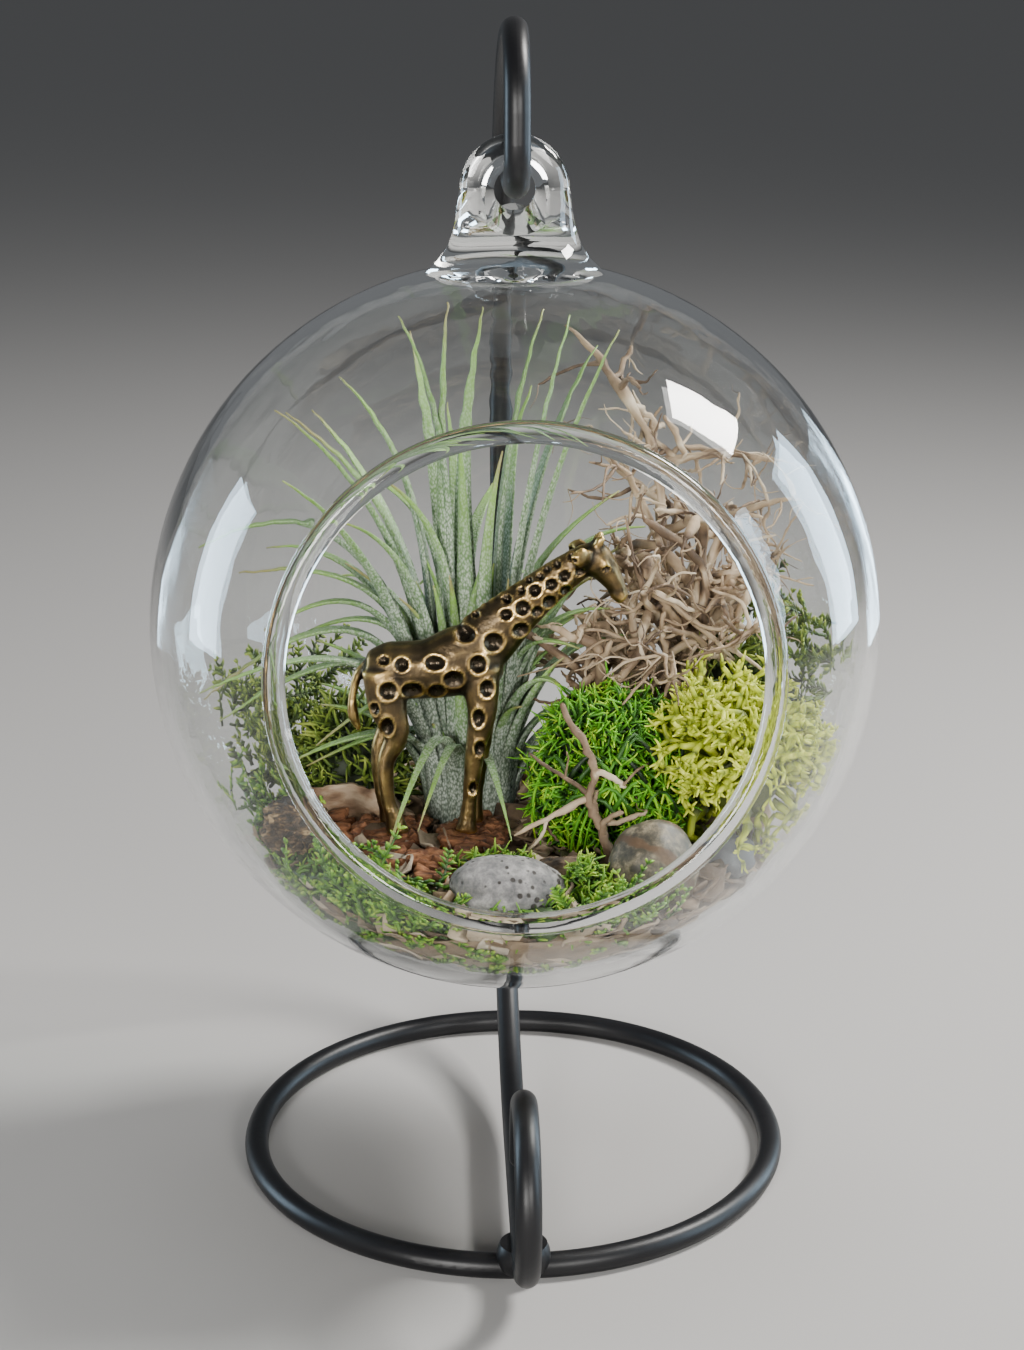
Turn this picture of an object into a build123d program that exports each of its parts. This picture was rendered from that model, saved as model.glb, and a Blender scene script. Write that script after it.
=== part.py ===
from build123d import *
import os
from math import cos, pi, radians, sin, sqrt

# Stand: one bent, coated steel rod on a ring of the same rod
rod_diameter = 5.2
ring_outer_diameter = 120.0
ring_flat_depth = 0.2  # flat on the ring's underside, where it rests
weld_diameter = 11.0
curl_radius = 16.6  # centreline of the front scroll
curl_reach = 7.6  # middle of the scroll, in front of the ring's centreline
curl_turn = 285.0
bow_gap = 17.4  # free space behind the globe
hang_offset = 7.0  # hanging point, in front of the ring's middle
hook_height = 29.0  # seat to arch, between centrelines
hook_radius = 14.5
seat_length = 12.0  # straight stretch that the glass loop hangs on
seat_bend_radius = 8.5
tip_bend_radius = 7.0
tip_turn = 38.0
rod_end_radius = 2.2

# Globe: blown glass with a round front opening and a solid loop on top
globe_diameter = 150.0
globe_wall = 2.4
globe_clearance = 48.0  # globe's lowest point above the table
opening_diameter = 88.6
opening_tilt = 5.0  # the opening looks up by this angle
rim_bead_diameter = 4.4
neck_height = 14.0  # globe's top to the middle of the loop's hole
neck_flare_width = 34.4  # just above the globe's surface
neck_flare_depth = 32.4
neck_lift = 0.4  # flare above the globe's surface
neck_foot_width = 44.0  # just under the globe's surface
neck_foot_depth = 40.0
neck_sink = 0.9  # foot under the globe's surface
loop_width = 21.8
loop_thickness = 10.0
loop_hole_diameter = 8.2
loop_hole_flare = 6.0  # radius of the hole's rounded lip
hang_clearance = 0.15

# Planting: what lies in the globe
bed_depth = 25.6  # litter at its deepest
glass_gap = 0.3  # between the glass and what lies against it
crown_radius = 9.0
crown_rise = 6.0  # middle of the plant's crown above the litter
leaf_width = 5.0
leaf_thickness = 1.5
leaf_end = 0.12  # share of the leaf's size that is left at its tip
leaf_lean = 0.3  # how far out the leaf's knee stands
leaf_steps = 6
chip_thickness = 5.0
figurine_height = 63.0
twig_diameter = 3.0
fork_diameter = 2.4
fork_height = 35.0
grey_pebble_size = (22.6, 16.0, 12.4)
brown_pebble_size = (18.0, 15.0, 20.0)
dark_pebble_size = (11.0, 12.0, 10.5)
bark_nugget_size = (15.0, 13.0, 13.0)
stone_chip_height = 7.0
green_moss_size = (33.0, 28.0, 23.0)  # width, depth and height of the heap's half above its middle
reindeer_moss_size = (37.0, 32.0, 19.0)
back_moss_size = (26.0, 22.0, 22.0)
right_moss_size = (24.0, 24.0, 28.0)
left_moss_roll = (12.0, 9.0)  # width and height
front_moss_roll = (11.0, 5.5)
green_moss_rise = 12.0  # middle of the heap above the litter
reindeer_moss_rise = 17.0
back_moss_rise = 4.0
right_moss_rise = 14.0
scrap_offset = Vector(-17.7, 12.0, 0)  # from the figurine
scrap_radius = 12.0
scrap_thickness = 1.2
scrap_width = 10.0
scrap_arc = 80.0

# Values that follow from the sizes above
rod_radius = rod_diameter / 2
ring_radius = ring_outer_diameter / 2 - rod_radius
ring_height = rod_radius - ring_flat_depth
run_height = ring_height + rod_diameter
hang_y = -hang_offset
globe_radius = globe_diameter / 2
inner_radius = globe_radius - globe_wall
room_radius = inner_radius - glass_gap
globe_height = globe_clearance + globe_radius
globe_centre = Vector(0, hang_y, globe_height)
opening_axis = Vector(0, -cos(radians(opening_tilt)), sin(radians(opening_tilt)))
rim_radius = opening_diameter / 2 + rim_bead_diameter / 2
rim_reach = sqrt((globe_radius - globe_wall / 2) ** 2 - rim_radius**2)
hole_height = globe_height + globe_radius + neck_height
hole_radius = loop_hole_diameter / 2
seat_height = hole_height + hole_radius - hang_clearance - rod_radius
leg_y = hang_y - seat_length / 2 - seat_bend_radius
arch_y = leg_y + hook_radius
arch_height = seat_height + hook_height
bow_radius = globe_radius + bow_gap + rod_radius
curl_y = -ring_radius - curl_reach
bed_top = globe_height - inner_radius + bed_depth
bed_radius = sqrt(room_radius**2 - (globe_height - bed_top) ** 2)


def bed_spot(share, heading, height=0.0):
    # a place over the litter: share of the way to the glass, heading from the right, height above the litter
    reach = share * bed_radius
    return Vector(reach * cos(radians(heading)), hang_y + reach * sin(radians(heading)), bed_top + height)


def globe_spot(right, back, up):
    # a place in the globe, where 1 is the inside of the glass
    return globe_centre + Vector(right, back, up) * inner_radius


def limb_planes(spine, across):
    # one plane square to the spine at each of its points
    planes = []
    for index, point in enumerate(spine):
        before = spine[max(index - 1, 0)]
        after = spine[min(index + 1, len(spine) - 1)]
        planes.append(Plane(origin=point, x_dir=across, z_dir=after - before))
    return planes


def faceted_limb(spine, widths, depths, corners, across):
    # tapering stem or leaf with flat sides
    turns = [2 * pi * corner / corners for corner in range(corners)]
    with BuildPart() as limb:
        for plane, width, depth in zip(limb_planes(spine, across), widths, depths):
            with BuildSketch(plane):
                Polygon(*[(width / 2 * cos(turn), depth / 2 * sin(turn)) for turn in turns], align=None)
        loft(ruled=True)
    return limb.solid()


def round_limb(spine, widths, depths, across):
    # tapering limb with oval sections
    with BuildPart() as limb:
        for plane, width, depth in zip(limb_planes(spine, across), widths, depths):
            with BuildSketch(plane):
                Ellipse(width / 2, depth / 2)
        loft()
    return limb.solid()


def pebble_form(place, size, turn, lean):
    # smooth stone, turned about the vertical and leaning to one side
    with BuildPart() as stone:
        Sphere(0.5)
        scale(by=size, mode=Mode.REPLACE)
    return Location(place, (0, lean, turn)) * stone.part


def twig_form(rows, diameter):
    # branches that taper from the first point to the last, joined where they start on one another
    branches = []
    for share, points in rows:
        steps = len(points) - 1
        sizes = [diameter * share * (1 - 0.6 * step / steps) for step in range(steps + 1)]
        run = points[-1] - points[0]
        across = run.cross(Vector(0.3, 1, 0.2))
        branches.append(faceted_limb(points, sizes, sizes, 6, across))
    return branches


# Inside of the globe, for what has to stay clear of the glass
with BuildPart() as room:
    with Locations(globe_centre):
        Sphere(room_radius)

# Base ring
with BuildPart() as base_ring:
    with Locations((0, 0, ring_height)):
        Torus(ring_radius, rod_radius)
    with Locations((0, 0, -rod_diameter)):
        Cylinder(
            ring_outer_diameter,
            rod_diameter,
            align=(Align.CENTER, Align.CENTER, Align.MIN),
            mode=Mode.SUBTRACT,
        )

# Stand rod, from the scroll's end to the hook's tip, in the plane X = 0
with BuildLine(Plane.YZ) as rod_path:
    CenterArc((curl_y, run_height + curl_radius), curl_radius, 270 - curl_turn, curl_turn)
    Line((curl_y, run_height), (arch_y, run_height))
    CenterArc((arch_y, run_height + bow_radius), bow_radius, 270, 90)
    Line(
        (arch_y + bow_radius, run_height + bow_radius),
        (arch_y + bow_radius, arch_height - bow_radius),
    )
    CenterArc((arch_y, arch_height - bow_radius), bow_radius, 0, 90)
    CenterArc((arch_y, arch_height - hook_radius), hook_radius, 90, 90)
    Line((leg_y, arch_height - hook_radius), (leg_y, seat_height + seat_bend_radius))
    CenterArc((leg_y + seat_bend_radius, seat_height + seat_bend_radius), seat_bend_radius, 180, 90)
    Line((leg_y + seat_bend_radius, seat_height), (leg_y + seat_bend_radius + seat_length, seat_height))
    CenterArc(
        (leg_y + seat_bend_radius + seat_length, seat_height + tip_bend_radius),
        tip_bend_radius,
        270,
        tip_turn,
    )
with BuildPart() as stand_rod:
    with BuildSketch(Plane(origin=rod_path.wires()[0] @ 0, z_dir=rod_path.wires()[0] % 0)):
        Circle(rod_radius)
    sweep(path=rod_path.wires()[0])
    rod_ends = stand_rod.faces().filter_by(GeomType.PLANE).edges()
    fillet(rod_ends, min(rod_end_radius, 0.9 * rod_radius))

# Weld in the corners where the rod crosses the ring
with BuildPart() as weld_bead:
    with Locations((0, -ring_radius, ring_height + rod_radius)):
        Sphere(weld_diameter / 2)
    scale_low = ring_height + rod_radius - weld_diameter / 4
    split(bisect_by=Plane.XY.offset(scale_low), keep=Keep.TOP)
    split(bisect_by=Plane.XY.offset(scale_low + weld_diameter / 2), keep=Keep.BOTTOM)
    add(base_ring.part, mode=Mode.SUBTRACT)
    add(stand_rod.part, mode=Mode.SUBTRACT)

# Glass globe with its rim, neck and loop
opening_plane = Plane(origin=globe_centre, x_dir=(1, 0, 0), z_dir=opening_axis)
foot_level = sqrt(globe_radius**2 - (neck_foot_width / 2) ** 2) - globe_radius - neck_sink
flare_level = sqrt(globe_radius**2 - (neck_flare_width / 2) ** 2) - globe_radius + neck_lift
neck_levels = [
    (foot_level, neck_foot_width, neck_foot_depth),
    (flare_level, neck_flare_width, neck_flare_depth),
]
for share_up, share_out in ((0.06, 0.62), (0.29, 0.32), (0.57, 0.14), (1.0, 0.0)):
    neck_levels.append(
        (
            neck_height * share_up,
            loop_width + (neck_flare_width - loop_width) * share_out,
            loop_thickness + (neck_flare_depth - loop_thickness) * share_out,
        )
    )
with BuildPart() as glass_globe:
    with Locations(globe_centre):
        Sphere(globe_radius)
    for level, width, depth in neck_levels:
        with BuildSketch(Plane(origin=(0, hang_y, globe_height + globe_radius + level))):
            Ellipse(width / 2, depth / 2)
    loft()
    with BuildSketch(Plane(origin=(0, hang_y, hole_height), x_dir=(0, 1, 0), z_dir=(1, 0, 0))):
        with BuildLine():
            EllipticalCenterArc((0, 0), loop_thickness / 2, loop_width / 2, arc_size=180)
            Line((-loop_thickness / 2, 0), (loop_thickness / 2, 0))
        make_face()
    revolve(axis=Axis((0, hang_y, hole_height), (0, 1, 0)), revolution_arc=360)
    lip = loop_thickness * 0.58
    lip_radius = hole_radius + loop_hole_flare - sqrt(loop_hole_flare**2 - lip**2)
    with BuildSketch(Plane(origin=(0, hang_y, hole_height), x_dir=(0, 1, 0), z_dir=(1, 0, 0))):
        with BuildLine():
            Line((-lip, 0), (-lip, lip_radius))
            ThreePointArc((-lip, lip_radius), (0, hole_radius), (lip, lip_radius))
            Line((lip, lip_radius), (lip, 0))
            Line((lip, 0), (-lip, 0))
        make_face()
    revolve(axis=Axis((0, hang_y, hole_height), (0, 1, 0)), revolution_arc=360, mode=Mode.SUBTRACT)
    with Locations(globe_centre):
        Sphere(inner_radius, mode=Mode.SUBTRACT)
    with Locations(opening_plane):
        Cylinder(
            rim_radius,
            globe_radius,
            align=(Align.CENTER, Align.CENTER, Align.MIN),
            mode=Mode.SUBTRACT,
        )
    with Locations(opening_plane.offset(rim_reach)):
        Torus(rim_radius, rim_bead_diameter / 2)

# Air plant: each row is a leaf, with its tip's place in the globe and its knee's height in the globe
leaf_rows = [
    ((-0.32, 0.10, 0.87), 0.35),
    ((-0.25, 0.34, 0.80), 0.30),
    ((-0.19, 0.12, 0.90), 0.30),
    ((-0.10, 0.24, 0.87), 0.25),
    ((-0.50, 0.20, 0.68), 0.30),
    ((-0.66, 0.00, 0.62), 0.15),
    ((-0.64, 0.24, 0.58), 0.10),
    ((-0.58, 0.42, 0.55), 0.15),
    ((-0.88, -0.10, 0.26), 0.40),
    ((-0.66, -0.22, 0.48), 0.05),
    ((-0.72, 0.30, 0.16), 0.12),
    ((-0.79, 0.10, 0.13), 0.10),
    ((-0.88, -0.14, -0.17), 0.18),
    ((-0.89, -0.26, -0.10), 0.00),
    ((-0.84, -0.12, -0.24), 0.02),
    ((-0.70, -0.10, 0.02), 0.14),
    ((-0.66, 0.12, -0.10), 0.10),
    ((-0.58, 0.02, -0.36), -0.08),
    ((0.08, 0.18, 0.88), 0.25),
    ((0.16, 0.12, 0.86), 0.20),
    ((0.24, 0.30, 0.76), 0.20),
    ((0.30, 0.06, 0.84), 0.15),
    ((0.12, 0.45, 0.60), 0.15),
    ((0.38, 0.10, 0.26), 0.15),
    ((0.20, 0.06, -0.08), -0.05),
    ((0.28, 0.20, 0.00), -0.05),
    ((0.14, -0.02, -0.22), -0.12),
    ((0.04, -0.34, -0.56), -0.20),
    ((-0.29, -0.42, -0.50), -0.22),
    ((-0.03, 0.02, 0.50), 0.05),
    ((-0.15, 0.05, 0.55), 0.05),
    ((-0.36, 0.02, 0.42), 0.15),
    ((-0.48, -0.02, 0.30), 0.15),
    ((-0.20, 0.50, 0.55), 0.10),
    ((-0.40, 0.60, 0.30), 0.15),
    ((-0.10, 0.72, 0.25), 0.20),
    ((-0.30, 0.78, -0.10), 0.10),
    ((0.10, 0.74, -0.05), 0.10),
    ((-0.55, 0.52, 0.00), 0.05),
]
crown = bed_spot(0.262, 130, crown_rise)
leaves = []
for tip_place, knee_up in leaf_rows:
    tip = globe_spot(*tip_place)
    knee = crown + Vector(tip.X - crown.X, tip.Y - crown.Y, 0) * leaf_lean
    knee = Vector(knee.X, knee.Y, globe_height + knee_up * inner_radius)
    root = crown + (knee - crown).normalized() * (crown_radius * 0.8)
    along = [step / leaf_steps for step in range(leaf_steps + 1)]
    spine = [root * (1 - t) ** 2 + knee * (2 * t * (1 - t)) + tip * t**2 for t in along]
    sizes = [max(leaf_end, (1 - t) ** 0.75) for t in along]
    across = Vector(0, 0, 1).cross(tip - crown)
    leaves.append(
        faceted_limb(
            spine,
            [leaf_width * size for size in sizes],
            [leaf_thickness * size for size in sizes],
            4,
            across,
        )
    )
with BuildPart() as plant_crown:
    with Locations(crown):
        Sphere(crown_radius)
    split(bisect_by=Plane.XY.offset(bed_top), keep=Keep.TOP)
air_plant = Compound([plant_crown.solid(), *leaves])

# Bark chips: place from the figurine, length, width and turn
chip_rows = [
    (-9.0, 0.5, 17.0, 17.0, 20),
    (9.4, 0.0, 17.0, 15.0, 75),
    (-15.5, -16.0, 15.0, 11.5, 10),
    (2.5, -15.5, 16.0, 11.0, 160),
    (-20.5, 2.0, 8.0, 8.0, 40),
]
figurine_place = bed_spot(0.355, 201)
with BuildPart() as bark_chips:
    for right, back, length, width, turn in chip_rows:
        chip_place = figurine_place + Vector(right, back, 0)
        with BuildSketch(Plane(chip_place, x_dir=(cos(radians(turn)), sin(radians(turn)), 0))):
            chip_corners = [(0.5, 0.1), (0.3, 0.46), (-0.2, 0.5), (-0.5, 0.15), (-0.4, -0.42), (0.15, -0.5)]
            Polygon(*[(length * x, width * y) for x, y in chip_corners], align=None)
        extrude(amount=chip_thickness)

# Figurine: lengths are shares of its height, from the middle of its feet, X ahead and Z up
figurine_foot = figurine_place + Vector(0, 0, chip_thickness)


def figure_point(ahead, left, up):
    return figurine_foot + Vector(ahead, left, up) * figurine_height


sideways = Vector(0, 1, 0)
figure_limbs = [
    # trunk, from rump to chest
    ([(-0.225, 0, 0.54), (-0.15, 0, 0.545), (0, 0, 0.53), (0.13, 0, 0.54), (0.21, 0, 0.56)],
     [0.09, 0.15, 0.145, 0.15, 0.08], [0.12, 0.175, 0.15, 0.2, 0.12]),
    # neck, from chest to head
    ([(0.15, 0, 0.54), (0.24, 0, 0.66), (0.38, 0, 0.76), (0.52, 0, 0.87)],
     [0.14, 0.11, 0.08, 0.075], [0.2, 0.16, 0.115, 0.1]),
    # head, from poll to muzzle
    ([(0.48, 0, 0.915), (0.53, 0, 0.885), (0.58, 0, 0.82), (0.615, 0, 0.755)],
     [0.06, 0.095, 0.07, 0.05], [0.06, 0.11, 0.085, 0.055]),
    # tail
    ([(-0.21, 0, 0.56), (-0.255, 0, 0.5), (-0.255, 0, 0.4)], [0.035, 0.035, 0.045], [0.035, 0.035, 0.045]),
]
for side in (-1, 1):
    figure_limbs.append(
        # hind leg
        ([(-0.15, side * 0.045, 0.55), (-0.135, side * 0.055, 0.36), (-0.16, side * 0.055, 0.2),
          (-0.135, side * 0.055, 0.0)],
         [0.085, 0.06, 0.05, 0.07], [0.14, 0.08, 0.055, 0.085])
    )
    figure_limbs.append(
        # front leg
        ([(0.15, side * 0.045, 0.55), (0.155, side * 0.05, 0.34), (0.14, side * 0.05, 0.18),
          (0.13, side * 0.05, 0.0)],
         [0.08, 0.055, 0.045, 0.065], [0.13, 0.08, 0.055, 0.08])
    )
    figure_limbs.append(
        # horn
        ([(0.515, side * 0.02, 0.91), (0.53, side * 0.025, 0.985)], [0.03, 0.028], [0.03, 0.028])
    )
    figure_limbs.append(
        # ear
        ([(0.49, side * 0.03, 0.9), (0.475, side * 0.085, 0.93)], [0.035, 0.02], [0.045, 0.03])
    )
figure_parts = []
for points, widths, depths in figure_limbs:
    spine = [figure_point(*point) for point in points]
    figure_parts.append(
        round_limb(
            spine,
            [width * figurine_height for width in widths],
            [depth * figurine_height for depth in depths],
            sideways,
        )
    )
with BuildPart() as figurine:
    add(figure_parts, clean=False)
    split(bisect_by=Plane.XY.offset(figurine_foot.Z), keep=Keep.TOP)

# Twigs: each row is a branch, with its share of the thickest twig and its points in the globe
twig_rows = [
    (1.0, [(0.56, 0.34, -0.66), (0.52, 0.38, -0.25), (0.47, 0.38, 0.10), (0.43, 0.40, 0.42),
           (0.31, 0.42, 0.64), (0.17, 0.42, 0.80)]),
    (0.7, [(0.44, 0.40, 0.36), (0.60, 0.34, 0.42), (0.80, 0.22, 0.42)]),
    (0.7, [(0.47, 0.38, 0.18), (0.62, 0.26, 0.26), (0.81, 0.10, 0.34)]),
    (0.6, [(0.48, 0.38, 0.06), (0.36, 0.28, 0.34), (0.28, 0.20, 0.44)]),
    (0.6, [(0.46, 0.39, 0.26), (0.33, 0.40, 0.36), (0.24, 0.44, 0.47)]),
    (0.8, [(0.50, 0.38, -0.10), (0.42, 0.16, -0.02), (0.36, -0.02, 0.10)]),
    (0.7, [(0.51, 0.38, -0.20), (0.46, 0.12, -0.14), (0.42, -0.06, -0.08)]),
    (0.7, [(0.53, 0.37, -0.30), (0.64, 0.15, -0.12), (0.70, -0.02, 0.00)]),
    (0.6, [(0.50, 0.38, -0.04), (0.60, 0.48, 0.12), (0.68, 0.50, 0.24)]),
    (0.6, [(0.49, 0.38, 0.02), (0.62, 0.22, 0.08), (0.74, 0.06, 0.14)]),
    (0.6, [(0.53, 0.37, -0.36), (0.40, 0.50, -0.18), (0.30, 0.56, 0.00)]),
]
with BuildPart() as twig_cluster:
    rows = [(share, [globe_spot(*point) for point in points]) for share, points in twig_rows]
    add(twig_form(rows, twig_diameter), clean=False)
    split(bisect_by=Plane.XY.offset(bed_top), keep=Keep.TOP)

# Forked twig in front of the green moss: points are right, back and up from its foot, in fork heights
fork_rows = [
    (1.2, [(0.06, 0.0, -0.06), (0.02, 0.06, 0.24), (-0.06, 0.12, 0.46), (-0.16, 0.17, 0.74),
           (-0.26, 0.21, 1.0)]),
    (0.8, [(-0.05, 0.11, 0.44), (-0.28, 0.07, 0.36), (-0.50, 0.04, 0.25)]),
    (0.8, [(-0.05, 0.11, 0.44), (0.10, 0.10, 0.37), (0.26, 0.11, 0.37)]),
    (0.8, [(-0.06, 0.12, 0.47), (0.04, 0.10, 0.47), (0.13, 0.10, 0.52)]),
    (0.6, [(-0.07, 0.12, 0.48), (-0.25, 0.17, 0.58), (-0.43, 0.21, 0.69)]),
]
fork_foot = bed_spot(0.535, 306)
with BuildPart() as forked_twig:
    rows = []
    for share, points in fork_rows:
        rows.append((share, [fork_foot + Vector(*point) * fork_height for point in points]))
    add(twig_form(rows, fork_diameter), clean=False)
    split(bisect_by=Plane.XY.offset(bed_top), keep=Keep.TOP)

# Stones
with BuildPart() as grey_pebble:
    add(pebble_form(bed_spot(0.745, 266, 5.0), grey_pebble_size, 8, 4))
with BuildPart() as brown_pebble:
    add(pebble_form(bed_spot(0.79, 307, 6.0), brown_pebble_size, 20, 12))
with BuildPart() as dark_pebble:
    add(pebble_form(bed_spot(0.87, 335, 2.6), dark_pebble_size, 30, 0))
with BuildPart() as bark_nugget:
    add(pebble_form(bed_spot(0.87, 198, 8.0), bark_nugget_size, 35, 10))
stones = [grey_pebble.solid(), brown_pebble.solid(), dark_pebble.solid(), bark_nugget.solid()]

# Flat brown chip beside the brown stone
with BuildPart() as stone_chip:
    with BuildSketch(Plane(bed_spot(0.60, 288), x_dir=(cos(radians(-25)), sin(radians(-25)), 0))):
        Polygon((-6.5, -2.0), (-3.0, -3.2), (5.5, -2.6), (6.5, 0.5), (2.0, 2.8), (-5.0, 2.4), align=None)
    extrude(amount=stone_chip_height, taper=8)

# Curved scrap of bark standing behind the chips
with BuildPart() as leaf_scrap:
    with BuildSketch(Plane(figurine_place + scrap_offset)):
        with BuildLine():
            CenterArc((0, -scrap_radius), scrap_radius, 90 - scrap_arc / 2, scrap_arc)
        trace(line_width=scrap_thickness)
    extrude(amount=scrap_width)

in_the_way = [
    *air_plant.solids(),
    *bark_chips.solids(),
    *figurine.solids(),
    *twig_cluster.solids(),
    *forked_twig.solids(),
    *stone_chip.solids(),
    *leaf_scrap.solids(),
    *stones,
]
taken = [(solid, solid.bounding_box()) for solid in in_the_way]


def give_way(heap, taken):
    # what is left of a soft heap around the solids that stand in it
    heap_box = heap.bounding_box()
    with BuildPart() as rest:
        add(heap)
        for solid, box in taken:
            if heap_box.overlaps(box):
                add(solid, mode=Mode.SUBTRACT, clean=False)
    return max(rest.solids(), key=lambda piece: piece.volume)


def mound_form(place, size):
    # soft heap on the litter, inside the glass
    width, depth, rise = size
    with BuildPart() as mound:
        Sphere(1)
        scale(by=(width / 2, depth / 2, rise), mode=Mode.REPLACE)
    with BuildPart() as heap:
        add(Location(place) * mound.part)
        split(bisect_by=Plane.XY.offset(bed_top), keep=Keep.TOP)
        add(room.part, mode=Mode.INTERSECT, clean=False)
    return heap.part


def edge_heap(reach, start, stop, size):
    # soft roll along the glass, from one heading to another
    width, height = size
    place = bed_spot(reach, start)
    outwards = Vector(cos(radians(start)), sin(radians(start)), 0)
    with BuildPart() as heap:
        with BuildSketch(Plane(origin=place, x_dir=outwards, z_dir=outwards.cross(Vector(0, 0, 1)))):
            Ellipse(width / 2, height)
        revolve(axis=Axis((0, hang_y, 0), (0, 0, 1)), revolution_arc=stop - start)
        split(bisect_by=Plane.XY.offset(bed_top), keep=Keep.TOP)
        add(room.part, mode=Mode.INTERSECT, clean=False)
    return heap.part


# Moss
with BuildPart() as green_moss:
    add(give_way(mound_form(bed_spot(0.36, 352, green_moss_rise), green_moss_size), taken))
taken.append((green_moss.solid(), green_moss.solid().bounding_box()))
with BuildPart() as reindeer_moss:
    add(give_way(mound_form(bed_spot(0.86, 351, reindeer_moss_rise), reindeer_moss_size), taken))
taken.append((reindeer_moss.solid(), reindeer_moss.solid().bounding_box()))
with BuildPart() as left_moss:
    add(give_way(edge_heap(0.86, 165, 245, left_moss_roll), taken))
taken.append((left_moss.solid(), left_moss.solid().bounding_box()))
with BuildPart() as front_moss:
    add(give_way(edge_heap(0.86, 252, 297, front_moss_roll), taken))
with BuildPart() as back_moss:
    add(give_way(mound_form(bed_spot(0.74, 148, back_moss_rise), back_moss_size), taken))
with BuildPart() as right_moss:
    add(give_way(mound_form(bed_spot(0.93, 22, right_moss_rise), right_moss_size), taken))

# Litter bed, with a pocket for each stone
with BuildPart() as litter_bed:
    add(room.part)
    split(bisect_by=Plane.XY.offset(bed_top), keep=Keep.BOTTOM)
    add(stones, mode=Mode.SUBTRACT)

nodes = {
    "base_ring": base_ring.part,
    "stand_rod": stand_rod.part,
    "weld_bead": weld_bead.part,
    "glass_globe": glass_globe.part,
    "litter_bed": litter_bed.part,
    "air_plant": air_plant,
    "figurine": figurine.part,
    "twig_cluster": twig_cluster.part,
    "forked_twig": forked_twig.part,
    "green_moss": green_moss.part,
    "reindeer_moss": reindeer_moss.part,
    "left_moss": left_moss.part,
    "front_moss": front_moss.part,
    "back_moss": back_moss.part,
    "right_moss": right_moss.part,
    "grey_pebble": grey_pebble.part,
    "brown_pebble": brown_pebble.part,
    "dark_pebble": dark_pebble.part,
    "bark_nugget": bark_nugget.part,
    "bark_chips": bark_chips.part,
    "leaf_scrap": leaf_scrap.part,
    "stone_chip": stone_chip.part,
}
os.makedirs("parts", exist_ok=True)
for name, node in nodes.items():
    node.label = name
    export_step(node, f"parts/{name}.step")
print("hinge at", hang_y, seat_height, "height", arch_height + rod_radius)
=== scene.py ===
import math
import random

import bmesh
import bpy
from mathutils import Matrix, Vector, noise
from mathutils.kdtree import KDTree


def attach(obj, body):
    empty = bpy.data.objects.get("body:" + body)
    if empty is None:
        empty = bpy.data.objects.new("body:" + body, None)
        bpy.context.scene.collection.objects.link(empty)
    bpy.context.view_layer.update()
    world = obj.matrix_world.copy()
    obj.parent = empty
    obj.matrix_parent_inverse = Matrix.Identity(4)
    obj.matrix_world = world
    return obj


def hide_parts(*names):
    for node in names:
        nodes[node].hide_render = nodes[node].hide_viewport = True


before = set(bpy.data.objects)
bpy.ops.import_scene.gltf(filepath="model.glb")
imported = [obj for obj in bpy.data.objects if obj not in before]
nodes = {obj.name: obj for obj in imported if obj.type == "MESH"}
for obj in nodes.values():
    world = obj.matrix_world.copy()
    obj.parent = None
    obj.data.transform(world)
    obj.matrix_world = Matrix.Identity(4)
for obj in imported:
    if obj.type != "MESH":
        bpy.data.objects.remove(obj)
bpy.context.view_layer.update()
print("frame loaded:", len(nodes), "nodes")

# places shared by everything in the globe, in metres
globe = {
    "centre": Vector((0, -0.007, 0.123)),
    "inner": 0.0726,  # inside radius of the glass
    "room": 0.0719,  # radius that the planting keeps to
    "bedTop": 0.076,
    "bedRadius": 0.0549,
}
fullTurn = 6.28  # radians
millimetre = 0.001


def inGlobe(right, back, up):  # 1 is the inside of the glass
    return globe["centre"] + Vector((right, back, up)) * globe["inner"]


def onBed(share, heading, height=0.0):  # share of the way to the glass, heading from the right
    reach, turn = share * globe["bedRadius"], math.radians(heading)
    middle = globe["centre"]
    right, back = middle.x + reach * math.cos(turn), middle.y + reach * math.sin(turn)
    return Vector((right, back, globe["bedTop"] + height))


def againstGlass(heading, height, gap):  # a place just inside the glass
    up = height - globe["centre"].z
    reach, turn = math.sqrt((globe["room"] - gap) ** 2 - up ** 2), math.radians(heading)
    return Vector((reach * math.cos(turn), globe["centre"].y + reach * math.sin(turn), height))


def pastGlass(point, gap):
    return (point - globe["centre"]).length > globe["room"] - gap


def keepInside(points, gap=0.0):  # pulls points that reach the glass back into the room
    reach = globe["room"] - gap
    for index, point in enumerate(points):
        out = point - globe["centre"]
        if out.length > reach:
            points[index] = globe["centre"] + out * (reach / out.length)
    return points


def colour(red, green, blue):
    return (red, green, blue, 1.0)


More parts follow.
